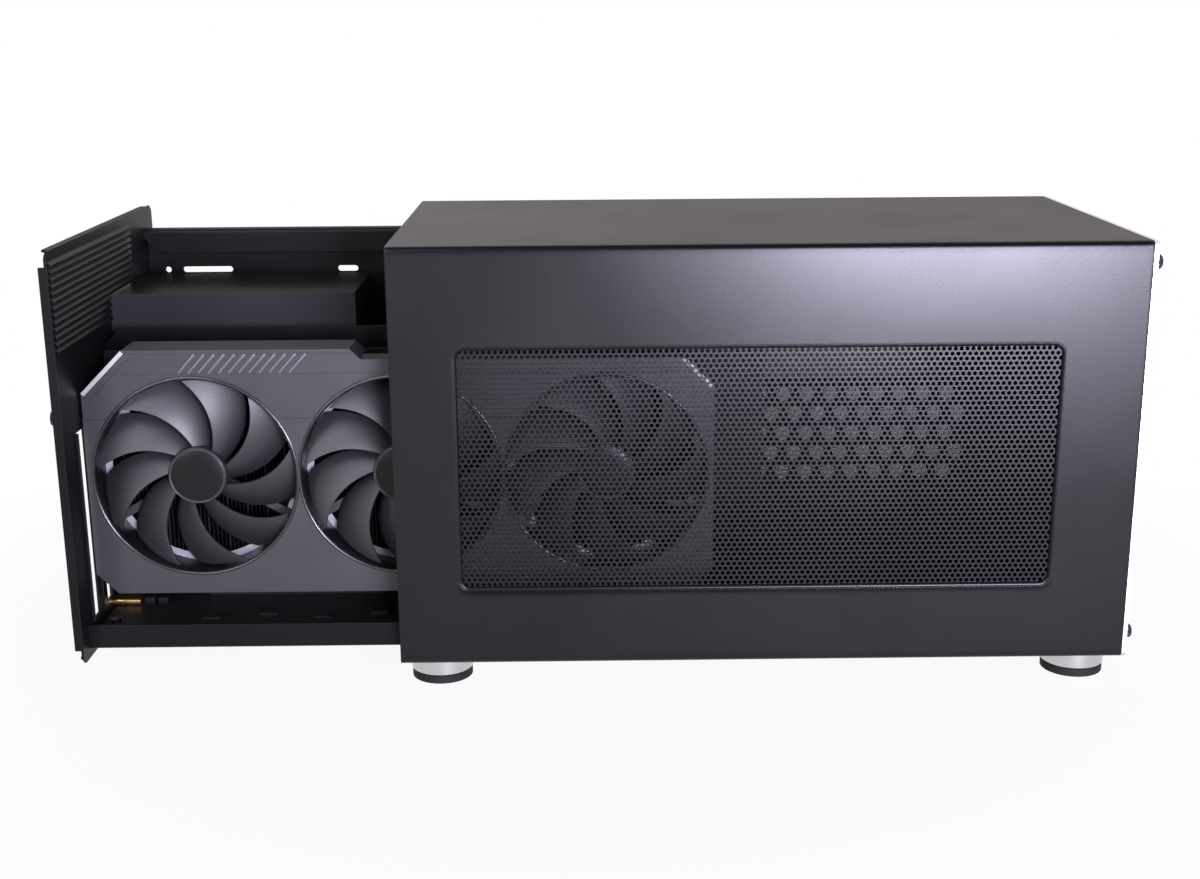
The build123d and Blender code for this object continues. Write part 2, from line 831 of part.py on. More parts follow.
# Controller chip with its cooler block
with BuildPart() as controller:
    with BuildSketch(level(board_top)):
        with Locations((panel_x + controller_x, cover_front + controller_y)):
            Rectangle(controller_side, controller_side)
    extrude(amount=controller_height)
controller.part.label = "controller"
export_step(controller.part, "parts/controller.step")

# Data port
with BuildPart() as data_port:
    with BuildSketch(facing_end(panel_x - panel_sheet - port_proud)):
        with Locations((cover_front + port_y, board_top + port_height / 2)):
            RectangleRounded(port_width, port_height, port_height / 2 - port_wall)
    extrude(amount=port_depth)
    with BuildSketch(facing_end(panel_x - panel_sheet - port_proud)):
        with Locations((cover_front + port_y, board_top + port_height / 2)):
            RectangleRounded(
                port_width - 2 * port_wall,
                port_height - 2 * port_wall,
                port_height / 2 - 2 * port_wall,
            )
    extrude(amount=port_depth - port_wall, mode=Mode.SUBTRACT)
data_port.part.label = "data_port"
export_step(data_port.part, "parts/data_port.step")

# Fan shroud of the card
with BuildPart() as fan_shroud:
    low_top = card_top - notch_depth
    card_right = card_x + card_length
    step_z = card_z + step_rise
    with BuildSketch(facing_front(card_y)):
        with BuildLine():
            Polyline(
                (card_x, card_z + shroud_low_chamfer),
                (card_x, card_top - shroud_chamfer),
                (card_x + shroud_chamfer, card_top),
                (card_x + notch_left, card_top),
                (card_x + notch_left + notch_depth, low_top),
                (card_right - shroud_right_chamfer, low_top),
                (card_right, low_top - shroud_right_chamfer),
                (card_right, card_z + shroud_low_chamfer),
                (card_right - shroud_low_chamfer, card_z),
                (card_x + shroud_low_chamfer, card_z),
                close=True,
            )
        make_face()
    extrude(amount=-shroud_depth)
    offset(amount=-shroud_wall, openings=fan_shroud.faces().sort_by(Axis.Y)[-1])
    with BuildSketch(facing_front(card_y)):
        for fan_x in fan_xs:
            with Locations((fan_x, fan_z)):
                Circle(fan_opening + duct_wall)
    extrude(amount=-duct_depth)
    with BuildSketch(facing_front(card_y)):
        with BuildLine():
            Polyline(
                (card_x, card_z + shroud_low_chamfer),
                (card_x, step_z),
                (card_right, step_z),
                (card_right, card_z + shroud_low_chamfer),
                (card_right - shroud_low_chamfer, card_z),
                (card_x + shroud_low_chamfer, card_z),
                close=True,
            )
        make_face()
    extrude(amount=step_proud)
    with BuildSketch(facing_front(card_y)):
        for fan_x in fan_xs:
            with Locations((fan_x, fan_z)):
                Circle(fan_opening + rim_width)
    extrude(amount=rim_proud)
    with BuildSketch(facing_front(card_y - rim_proud)):
        for fan_x in fan_xs:
            with Locations((fan_x, fan_z)):
                Circle(fan_opening)
    extrude(amount=-(rim_proud + duct_depth), mode=Mode.SUBTRACT)
    with BuildSketch(facing_front(card_y)):
        with Locations((card_mid_x, fan_z)):
            with GridLocations(fan_pitch, 2 * post_rise, 2, 2):
                Circle(post_radius)
    extrude(amount=-(fin_front - card_y))
    with BuildSketch(facing_front(card_y)):
        for groove in range(groove_count):
            with Locations((card_x + groove_left + groove * groove_pitch, card_top - groove_drop)):
                SlotOverall(groove_length, groove_width, rotation=groove_lean)
    extrude(amount=-groove_depth, mode=Mode.SUBTRACT)
    with BuildSketch(facing_front(card_y)):
        for line_drop in line_drops:
            with Locations((card_mid_x, card_top - line_drop)):
                Rectangle(card_length, line_width)
        with Locations((card_x + shroud_chamfer / 2, card_top - shroud_chamfer / 2)):
            with Locations(Location((0, 0), 45)):
                with Locations((0, -trim_band)):
                    Rectangle(shroud_chamfer * math.sqrt(2), line_width)
    extrude(amount=-line_depth, mode=Mode.SUBTRACT)
    exhaust_y = card_y + shroud_depth - exhaust_depth / 2
    for exhaust_z in (card_z, low_top - shroud_wall):
        with BuildSketch(level(exhaust_z)):
            with Locations((card_mid_x, exhaust_y)):
                Rectangle(card_length - 2 * exhaust_margin, exhaust_depth)
        extrude(amount=shroud_wall, mode=Mode.SUBTRACT)
fan_shroud.part.label = "fan_shroud"
export_step(fan_shroud.part, "parts/fan_shroud.step")

# Motor bases of the card's fans
card_stator = fan_stator(fan_opening + duct_wall)
with BuildPart() as fan_stators:
    for fan_x in fan_xs:
        with Locations((fan_x, rotor_y, fan_z)):
            add(card_stator)
fan_stators.part.label = "fan_stators"
export_step(fan_stators.part, "parts/fan_stators.step")

# Rotors of the card's fans
card_rotor = fan_rotor(fan_opening - rotor_gap)
for number, fan_x in enumerate(fan_xs, start=1):
    with BuildPart() as card_fan:
        with Locations((fan_x, rotor_y, fan_z)):
            add(card_rotor)
    card_fan.part.label = f"fan_rotor_{number}"
    export_step(card_fan.part, f"parts/fan_rotor_{number}.step")

# Bright trim along the shroud's upper corners
with BuildPart() as shroud_trim:
    with BuildSketch(facing_front(card_y)):
        with Locations((card_x + shroud_chamfer / 2, card_top - shroud_chamfer / 2)):
            with Locations(Location((0, 0), 45)):
                with Locations((0, -trim_width / 2)):
                    Rectangle(shroud_chamfer * math.sqrt(2), trim_width)
        with Locations((card_right - shroud_right_chamfer / 2, low_top - shroud_right_chamfer / 2)):
            with Locations(Location((0, 0), -45)):
                with Locations((0, -trim_width / 2)):
                    Rectangle(shroud_right_chamfer * math.sqrt(2), trim_width)
    extrude(amount=trim_proud)
shroud_trim.part.label = "shroud_trim"
export_step(shroud_trim.part, "parts/shroud_trim.step")

# Heat sink: a cold plate with fins towards the fans
with BuildPart() as heat_sink:
    sink_length = card_length - 2 * fin_side
    sink_height = card_height - fin_low - fin_high
    sink_z = card_z + fin_low + sink_height / 2
    with BuildSketch(facing_front(fin_back)):
        with Locations((card_mid_x, sink_z)):
            Rectangle(sink_length, sink_height)
    extrude(amount=-cold_plate)
    with BuildSketch(facing_front(fin_front)):
        with Locations((card_mid_x, sink_z)):
            fin_step = fan_pitch / fins_per_fan
            with GridLocations(fin_step, 0, 2 * int(sink_length / 2 // fin_step) + 1, 1):
                Rectangle(fin_sheet, sink_height)
    extrude(amount=-fin_depth)
heat_sink.part.label = "heat_sink"
export_step(heat_sink.part, "parts/heat_sink.step")

# Graphics chip between the cold plate and its board
with BuildPart() as graphics_chip:
    with BuildSketch(facing_front(die_front)):
        with Locations((card_x + die_x, sink_z)):
            Rectangle(die_side, die_side)
    extrude(amount=-die_height)
graphics_chip.part.label = "graphics_chip"
export_step(graphics_chip.part, "parts/graphics_chip.step")

# Card board with its edge connector
with BuildPart() as card_board:
    card_board_height = card_top - card_board_top - card_board_z
    with BuildSketch(facing_front(card_board_y)):
        with Locations((card_x, card_board_z)):
            Rectangle(card_board_length, card_board_height, align=(Align.MIN, Align.MIN))
        with Locations((card_x + finger_start, finger_low)):
            Rectangle(finger_length, card_board_z - finger_low, align=(Align.MIN, Align.MIN))
    extrude(amount=-card_sheet)
card_board.part.label = "card_board"
export_step(card_board.part, "parts/card_board.step")

# Back plate of the card, on bosses
with BuildPart() as card_backplate:
    with BuildSketch(facing_front(backplate_y)) as backplate_outline:
        with Locations((card_x, card_z)):
            Rectangle(card_length, card_height + backplate_above, align=(Align.MIN, Align.MIN))
        chamfer(backplate_outline.vertices(), backplate_chamfer)
    extrude(amount=-backplate_sheet)
    with BuildSketch(facing_front(card_board_back)):
        with Locations((card_x + card_board_length / 2, card_mid_z)):
            with GridLocations(boss_span_x, boss_span_z, 2, 2):
                Circle(boss_radius)
    extrude(amount=-backplate_gap)
card_backplate.part.label = "card_backplate"
export_step(card_backplate.part, "parts/card_backplate.step")

# Card bracket, behind two of the expansion slots
with BuildPart() as card_bracket:
    bracket_y = (slot_ys[-2] + slot_ys[-1]) / 2
    bracket_height = slot_height + bracket_below + bracket_above
    bracket_z = slot_z + (bracket_above - bracket_below) / 2
    display_y = card_board_y - display_height / 2
    with BuildSketch(facing_end(panel_x)):
        with Locations((bracket_y, bracket_z)):
            Rectangle(slot_pitch + slot_width + 2 * bracket_margin, bracket_height)
        with Locations((display_y, slot_z)):
            with GridLocations(0, display_pitch, 1, display_count):
                Rectangle(display_height + 2 * slide_gap, display_width + 2 * slide_gap, mode=Mode.SUBTRACT)
        with Locations((slot_ys[-2], slot_z)):
            with GridLocations(0, slot_height / bracket_vent_count, 1, bracket_vent_count):
                Rectangle(bracket_vent_width, bracket_vent_height, mode=Mode.SUBTRACT)
        for slot_y in slot_ys[-2:]:
            with Locations((slot_y, rear_screw_z)):
                Circle(rear_screw_radius + screw_gap, mode=Mode.SUBTRACT)
    extrude(amount=bracket_sheet)
card_bracket.part.label = "card_bracket"
export_step(card_bracket.part, "parts/card_bracket.step")

# Display sockets on the card's board, through its bracket
with BuildPart() as display_sockets:
    with BuildSketch(facing_end(panel_x - display_proud)):
        with Locations((display_y, slot_z)):
            with GridLocations(0, display_pitch, 1, display_count):
                Rectangle(display_height, display_width)
    extrude(amount=display_proud + display_depth)
    with BuildSketch(facing_end(panel_x - display_proud)):
        with Locations((display_y, slot_z)):
            with GridLocations(0, display_pitch, 1, display_count):
                Rectangle(display_height - 2 * display_wall, display_width - 2 * display_wall)
    extrude(amount=display_depth, mode=Mode.SUBTRACT)
    with BuildSketch(facing_end(panel_x + display_depth - display_proud)):
        with Locations((display_y, slot_z)):
            with GridLocations(0, display_pitch, 1, display_count):
                Rectangle(display_tongue, display_tongue_width)
    extrude(amount=-(display_depth - display_proud))
display_sockets.part.label = "display_sockets"
export_step(display_sockets.part, "parts/display_sockets.step")

# Power socket at the card's top edge
with BuildPart() as power_socket:
    socket_z = card_top - notch_depth
    socket_y = card_board_y - socket_depth / 2
    with BuildSketch(level(socket_z)):
        with Locations((card_x + socket_x, socket_y)):
            Rectangle(socket_length, socket_depth)
    extrude(amount=-socket_height)
    with BuildSketch(level(socket_z)):
        with Locations((card_x + socket_x, socket_y)):
            with GridLocations(socket_length / socket_columns, socket_depth / 2, socket_columns, 2):
                Rectangle(socket_chamber, socket_chamber)
    extrude(amount=-socket_chamber_depth, mode=Mode.SUBTRACT)
power_socket.part.label = "power_socket"
export_step(power_socket.part, "parts/power_socket.step")

# Case of the power supply: a tub open towards the back
with BuildPart() as psu_case:
    psu_cover_y = psu_back - psu_sheet
    with BuildSketch(facing_front(psu_y)):
        with Locations((psu_mid_x, psu_mid_z)):
            Rectangle(psu_length, psu_height)
    extrude(amount=-(psu_thickness - psu_sheet))
    offset(amount=-psu_sheet, openings=psu_case.faces().sort_by(Axis.Y)[-1])
    with BuildSketch(facing_end(panel_x)):
        with Locations((psu_y + inlet_y, inlet_z)):
            Rectangle(inlet_width + 2 * press_gap, inlet_height + 2 * press_gap)
        with Locations((psu_y + switch_y, inlet_z)):
            Rectangle(switch_width + 2 * press_gap, switch_height + 2 * press_gap)
        with Locations((psu_mid_y, psu_z + psu_vent_rise)):
            honeycomb(psu_vent_pitch, psu_vent_columns, psu_vent_columns - 1, psu_vent_rows, psu_vent_hole)
        with Locations((psu_mid_y, psu_mid_z)):
            with GridLocations(
                psu_thickness - 2 * psu_screw_inset, psu_height - 2 * psu_screw_inset, 2, 2
            ):
                Circle(psu_screw_radius + screw_gap)
    extrude(amount=psu_sheet, mode=Mode.SUBTRACT)
psu_case.part.label = "psu_case"
export_step(psu_case.part, "parts/psu_case.step")

# Cover of the power supply, open over its fan
with BuildPart() as psu_cover:
    with BuildSketch(facing_front(psu_cover_y)):
        with Locations((psu_mid_x, psu_mid_z)):
            Rectangle(psu_length, psu_height)
            Circle(psu_fan_opening, mode=Mode.SUBTRACT)
    extrude(amount=-psu_sheet)
psu_cover.part.label = "psu_cover"
export_step(psu_cover.part, "parts/psu_cover.step")

# Fan guard: flat rings on a cross
with BuildPart() as psu_guard:
    ring_step = psu_fan_opening / psu_guard_rings
    with BuildSketch(facing_front(psu_back)):
        with Locations((psu_mid_x, psu_mid_z)):
            for ring in range(psu_guard_rings, 0, -1):
                ring_radius = ring_step * ring
                Circle(ring_radius + psu_guard_wire)
                Circle(ring_radius - psu_guard_wire, mode=Mode.SUBTRACT)
    extrude(amount=-psu_guard_wire)
    with BuildSketch(facing_front(psu_back)):
        with Locations((psu_mid_x, psu_mid_z)):
            with PolarLocations(0, 4, start_angle=45):
                with Locations((ring_step, 0)):
                    Rectangle(
                        psu_fan_opening + 2 * psu_guard_wire - ring_step,
                        2 * psu_guard_wire,
                        align=(Align.MIN, Align.CENTER),
                    )
    extrude(amount=-psu_guard_wire)
psu_guard.part.label = "psu_guard"
export_step(psu_guard.part, "parts/psu_guard.step")

# Fan frame of the power supply, with its motor base
psu_stator = fan_stator(psu_fan_opening + strut_width)
psu_fan_face = psu_cover_y - psu_fan_setback
psu_fan_depth = psu_fan_setback + hub_depth + stator_gap + stator_sheet
with BuildPart() as psu_fan_frame:
    with BuildSketch(facing_front(psu_cover_y)):
        with Locations((psu_mid_x, psu_mid_z)):
            Rectangle(psu_fan_side, psu_fan_side)
            Circle(psu_fan_opening, mode=Mode.SUBTRACT)
    extrude(amount=psu_fan_depth)
    with Locations((psu_mid_x, psu_fan_face, psu_mid_z)):
        add(psu_stator, rotation=(0, 0, 180))
psu_fan_frame.part.label = "psu_fan_frame"
export_step(psu_fan_frame.part, "parts/psu_fan_frame.step")

# Fan rotor of the power supply
psu_rotor = fan_rotor(psu_fan_opening - psu_rotor_gap)
with BuildPart() as psu_fan_rotor:
    with Locations((psu_mid_x, psu_fan_face, psu_mid_z)):
        add(psu_rotor, rotation=(0, 0, 180))
psu_fan_rotor.part.label = "psu_fan_rotor"
export_step(psu_fan_rotor.part, "parts/psu_fan_rotor.step")

# Screws that hold the power supply to the rear panel
with BuildPart() as psu_screws:
    for screw_radius, screw_length in (
        (psu_head_radius, -psu_head_height),
        (psu_screw_radius, panel_sheet + psu_screw_grip),
    ):
        with BuildSketch(facing_end(panel_x - panel_sheet)):
            with Locations((psu_mid_y, psu_mid_z)):
                with GridLocations(
                    psu_thickness - 2 * psu_screw_inset, psu_height - 2 * psu_screw_inset, 2, 2
                ):
                    Circle(screw_radius)
        extrude(amount=screw_length)
psu_screws.part.label = "psu_screws"
export_step(psu_screws.part, "parts/psu_screws.step")

# Mains inlet with its three pins
with BuildPart() as mains_inlet:
    inlet_mid_y = psu_y + inlet_y
    with BuildSketch(facing_end(panel_x)):
        with Locations((inlet_mid_y, inlet_z)):
            Rectangle(inlet_width + 2 * inlet_flange, inlet_height + 2 * inlet_flange)
    extrude(amount=-inlet_flange)
    with BuildSketch(facing_end(panel_x)):
        with Locations((inlet_mid_y, inlet_z)):
            Rectangle(inlet_width, inlet_height)
    extrude(amount=inlet_depth)
    with BuildSketch(facing_end(panel_x - inlet_flange)):
        with Locations((inlet_mid_y, inlet_z)):
            RectangleRounded(inlet_width - 2 * inlet_wall, inlet_height - 2 * inlet_wall, inlet_wall)
    extrude(amount=inlet_flange + inlet_depth - inlet_floor, mode=Mode.SUBTRACT)
    with BuildSketch(facing_end(panel_x + inlet_depth - inlet_floor)):
        with Locations(
            (inlet_mid_y - inlet_pin_spread, inlet_z - inlet_wall),
            (inlet_mid_y, inlet_z + inlet_wall),
            (inlet_mid_y + inlet_pin_spread, inlet_z - inlet_wall),
        ):
            Rectangle(inlet_pin_width, inlet_pin_height)
    extrude(amount=-inlet_pin_length)
mains_inlet.part.label = "mains_inlet"
export_step(mains_inlet.part, "parts/mains_inlet.step")

# Housing of the mains switch
with BuildPart() as switch_housing:
    switch_mid_y = psu_y + switch_y
    with BuildSketch(facing_end(panel_x)):
        with Locations((switch_mid_y, inlet_z)):
            Rectangle(switch_width + 2 * inlet_flange, switch_height + 2 * inlet_flange)
    extrude(amount=-inlet_flange)
    with BuildSketch(facing_end(panel_x)):
        with Locations((switch_mid_y, inlet_z)):
            Rectangle(switch_width, switch_height)
    extrude(amount=switch_depth)
    with BuildSketch(facing_end(panel_x - inlet_flange)):
        with Locations((switch_mid_y, inlet_z)):
            Rectangle(switch_width - 2 * switch_wall, 2 * (rocker_corner + slide_gap))
    extrude(amount=inlet_flange + switch_depth - switch_wall, mode=Mode.SUBTRACT)
    with BuildSketch(facing_front(switch_mid_y - switch_width / 2)):
        with Locations((switch_x, inlet_z)):
            Circle(rocker_pin_radius + running_gap)
    extrude(amount=-switch_width, mode=Mode.SUBTRACT)
switch_housing.part.label = "switch_housing"
export_step(switch_housing.part, "parts/switch_housing.step")

# Rocker of the mains switch, on its own pin, pressed to one side
with BuildPart() as switch_rocker:
    rocker_width = switch_width - 2 * switch_wall - 2 * slide_gap
    with BuildSketch(facing_front(switch_mid_y - rocker_width / 2)):
        with BuildSketch(mode=Mode.PRIVATE) as rocker_profile:
            with BuildLine():
                Polyline(
                    (-rocker_reach, -rocker_half),
                    (-rocker_waist, 0),
                    (-rocker_reach, rocker_half),
                    (rocker_back, rocker_half - rocker_back),
                    (rocker_back, rocker_back - rocker_half),
                    close=True,
                )
            make_face()
        with Locations((switch_x, inlet_z)):
            add(rocker_profile.sketch, rotation=rocker_tilt)
    extrude(amount=-rocker_width)
    with BuildSketch(facing_front(switch_mid_y - switch_width / 2)):
        with Locations((switch_x, inlet_z)):
            Circle(rocker_pin_radius)
    extrude(amount=-switch_width)
switch_rocker.part.label = "switch_rocker"
export_step(switch_rocker.part, "parts/switch_rocker.step")
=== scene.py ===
"""Looks of an external graphics card enclosure with its chassis drawn out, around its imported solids.

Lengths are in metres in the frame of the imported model: x along the cover, y from its window to its
back wall, z up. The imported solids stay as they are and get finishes; finer pieces are added to them.
"""

import json
import logging
import math
from dataclasses import dataclass, replace
from enum import Enum
from functools import cache

import bmesh
import bpy
import numpy as np
from mathutils import Matrix, Vector


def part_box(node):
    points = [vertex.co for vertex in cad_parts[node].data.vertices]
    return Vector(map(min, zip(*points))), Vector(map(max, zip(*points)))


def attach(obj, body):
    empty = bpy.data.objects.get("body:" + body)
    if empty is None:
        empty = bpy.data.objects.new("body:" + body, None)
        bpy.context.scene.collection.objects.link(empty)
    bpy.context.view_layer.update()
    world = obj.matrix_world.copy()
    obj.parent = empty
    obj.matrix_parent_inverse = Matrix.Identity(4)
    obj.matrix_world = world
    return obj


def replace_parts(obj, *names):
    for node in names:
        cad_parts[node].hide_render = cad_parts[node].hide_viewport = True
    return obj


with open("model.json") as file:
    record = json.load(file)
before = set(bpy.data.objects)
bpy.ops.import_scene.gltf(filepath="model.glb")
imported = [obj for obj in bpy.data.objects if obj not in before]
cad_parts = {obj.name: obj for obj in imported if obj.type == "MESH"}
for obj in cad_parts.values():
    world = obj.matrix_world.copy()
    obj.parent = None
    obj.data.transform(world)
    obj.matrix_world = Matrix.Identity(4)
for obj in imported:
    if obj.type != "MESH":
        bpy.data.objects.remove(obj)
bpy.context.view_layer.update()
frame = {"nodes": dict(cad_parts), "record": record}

logging.basicConfig(level=logging.INFO, format="%(name)s: %(message)s")
log = logging.getLogger("enclosure")

Array = np.ndarray
Shape = tuple[Array, Array]
Pair = tuple[float, float]
Triple = tuple[float, float, float]
NodeTree = bpy.types.NodeTree
Socket = bpy.types.NodeSocket

MM = 0.001
LAVENDER = (0.8, 0.78, 1.0)
UPWARD = (0.0, 0.0, 1.0)
UNIT = (0.0, 1.0)

# Edges sharper than SHARP are not smoothed, and points nearer than MERGED are one.
SHARP = math.radians(32)
MERGED = 0.001 * MM

# Points of a small arc in a section, and of a dome or a bead.
ARC = 7
DOME = 9


# Surfaces


def rows_of(x: object, y: object, z: object) -> Array:
    """Rows of (x, y, z) from numbers or arrays whose shapes fit each other."""
    return np.stack(np.broadcast_arrays(x, y, z), axis=-1).reshape(-1, 3)


def grid_quads(rows: int, columns: int, closed: bool = False) -> Array:
    """Quads of a grid of points that are stored row by row.

    Quad (i, j) joins point (i, j) with (i, j + 1), (i + 1, j + 1) and (i + 1, j); on a closed grid the
    last column joins the first.

    Args:
        rows: number of rows of points.
        columns: number of points in a row.
        closed: whether each row is a ring.

    Returns:
        Point numbers, four to a quad.
    """
    i, j = np.meshgrid(np.arange(rows - 1), np.arange(columns - (not closed)), indexing="ij")
    k = (j + 1) % columns
    below = (i + 1) * columns
    return np.stack([i * columns + j, i * columns + k, below + k, below + j], axis=-1).reshape(-1, 4)


def turned(profile: Array, steps: int, wave: int = 0, notch: float = 0.0) -> Shape:
    """Surface of revolution, with an optional fluted edge.

    Point (i, j) is profile point i = (height, radius) at the angle 2 pi j / steps. A fluted point's radius
    is radius * (1 - notch * (1 - cos(wave * angle)) / 2) where the profile's third value is 1.

    Args:
        profile: rows of (height along the axis, radius, fluting from 0 to 1).
        steps: points round the axis.
        wave: flutes round the axis.
        notch: depth of a flute as a share of the radius.

    Returns:
        Points about the z axis, and quads.
    """
    angle = np.linspace(0, 2 * np.pi, steps, endpoint=False)
    radius = profile[:, 1:2] * (1 - notch * profile[:, 2:3] * (1 - np.cos(wave * angle)) / 2)
    points = rows_of(radius * np.cos(angle), radius * np.sin(angle), profile[:, :1])
    return points, grid_quads(len(profile), steps, closed=True)


def rounded_block(size: Triple, steps: int = 20, power: float = 0.18) -> Shape:
    """Block with soft edges, as a superellipsoid.

    Each unit sphere coordinate c becomes sign(c) * |c| ** power, then half the size scales it: a small
    power gives flat sides and tight edges.

    Args:
        size: lengths along x, y and z.
        steps: points round the block.
        power: 1 for an ellipsoid, near 0 for a sharp box.

    Returns:
        Points about the origin, and quads.
    """
    turn = np.linspace(0, 2 * np.pi, steps, endpoint=False) + np.pi / steps
    tilt = np.linspace(-np.pi / 2, np.pi / 2, steps // 2 + 1)[:, None]
    unit = rows_of(np.cos(tilt) * np.cos(turn), np.cos(tilt) * np.sin(turn), np.sin(tilt))
    points = np.sign(unit) * np.abs(unit) ** power * np.asarray(size) / 2
    return points, grid_quads(len(tilt), steps, closed=True)


def perforated(columns: int, rows: int, pitch: float, across: float) -> Shape:
    """Flat sheet of staggered cells, each a ring of six quads round a hole.

    Cell (i, j) stands at u = (j + (i mod 2) / 2) * pitch, v = i * pitch * sqrt(3) / 2. Its corners lie at
    the angles 60 k + 30 degrees on the radius pitch / sqrt(3), where cells meet, and the hole's corners
    lie on the same spokes on the radius across / sqrt(3). Corners that cells share are merged.

    Args:
        columns: holes in a row.
        rows: rows of holes.
        pitch: distance between neighbouring holes.
        across: width of a hole over its flats.

    Returns:
        Points (u, v) about the sheet's middle, and quads.
    """
    i, j = np.meshgrid(np.arange(rows), np.arange(columns), indexing="ij")
    cell = np.stack([(j + (i % 2) / 2) * pitch, i * pitch * math.sqrt(3) / 2], axis=-1).reshape(-1, 1, 2)
    k = np.arange(6)
    spoke = np.radians(60 * k + 30)
    ray = np.stack([np.cos(spoke), np.sin(spoke)], axis=-1)
    corners = [cell + ray * width / math.sqrt(3) for width in (pitch, across)]
    flat = np.concatenate(corners, axis=1).reshape(-1, 2)
    ring = np.stack([k, (k + 1) % 6, (k + 1) % 6 + 6, k + 6], axis=-1)
    quads = (np.arange(len(cell))[:, None, None] * 12 + ring).reshape(-1, 4)
    key = np.round(flat / pitch * 1000).astype(int)
    _, first, number = np.unique(key, axis=0, return_index=True, return_inverse=True)
    flat = flat[first]
    return flat - (flat.min(0) + flat.max(0)) / 2, number.reshape(-1)[quads]


def many(shape: Shape, places: Array) -> Shape:
    """Copies of a shape at several places, as one set of points and quads.

    Args:
        shape: points and quads of one copy.
        places: one offset to a row.

    Returns:
        Points and quads of all copies.
    """
    points, quads = shape
    count = np.arange(len(places))[:, None, None]
    return (places[:, None, :] + points).reshape(-1, 3), (count * len(points) + quads).reshape(-1, 4)


def prism(section: Array, low: float, high: float) -> Shape:
    """Closed outline carried straight along z, its ends closed at the outline's middle.

    The grid's rows are the middle and the outline at the low end, then the outline and the middle at the
    high end.

    Args:
        section: rows of (x, y) round the outline.
        low: z of one end.
        high: z of the other.

    Returns:
        Points and quads.
    """
    middle = np.broadcast_to(section.mean(0), section.shape)
    level = np.repeat([low, low, high, high], len(section))
    points = np.column_stack([np.vstack([middle, section, section, middle]), level])
    return points, grid_quads(4, len(section), closed=True)


class Axis(Enum):
    """Axes of turned pieces, as the order in which x, y and z are read from a shape about z."""

    X = [2, 0, 1]
    Y = [1, 2, 0]


def along(points: Array, axis: Axis) -> Array:
    """Turns points about the z axis to lie about another axis, without mirroring them."""
    return points[:, axis.value]


def placed(name: str, data: bpy.types.ID) -> bpy.types.Object:
    """Puts an object into the scene.

    Args:
        name: the object's name.
        data: its mesh, light or camera.

    Returns:
        The object.
    """
    made = bpy.data.objects.new(name, data)
    bpy.context.scene.collection.objects.link(made)
    return made


def add_piece(
    name: str, shape: Shape, body: str, slot: str, variant: str = "", sheet: float = 0.0
) -> bpy.types.Object:
    """Makes a mesh piece in the row frame that rides on a body and wears its slot's finish.

    Args:
        name: the piece's name.
        shape: points and quads.
        body: the body that it moves with.
        slot: the material slot that gives its finish.
        variant: a lighter or darker kind of that finish, if any.
        sheet: thickness of an open sheet, away from the side that it faces, or 0 for a closed surface; a
            sheet is shaded flat, because its rim is made later.

    Returns:
        The new object.
    """
    points, quads = shape
    mesh = bpy.data.meshes.new(name)
    mesh.from_pydata(points, [], quads)
    if not sheet:
        work = bmesh.new()
        work.from_mesh(mesh)
        bmesh.ops.remove_doubles(work, verts=work.verts, dist=MERGED)
        bmesh.ops.recalc_face_normals(work, faces=work.faces)
        work.to_mesh(mesh)
        work.free()
        mesh.shade_smooth()
        mesh.set_sharp_from_angle(angle=SHARP)
    piece = placed(name, mesh)
    if sheet:
        thick = piece.modifiers.new("thickness", "SOLIDIFY")
        thick.thickness = sheet
        thick.offset = -1
    mesh.materials.append(finish_of(variant or slot))
    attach(piece, body)
    log.info("%s rides on %s, %d quads", name, body, len(quads))
    return piece


# Node groups


# Numbers of a Mix node's two colour inputs, and of its colour output.
MIX_COLOURS = (6, 7)
MIX_RESULT = 2


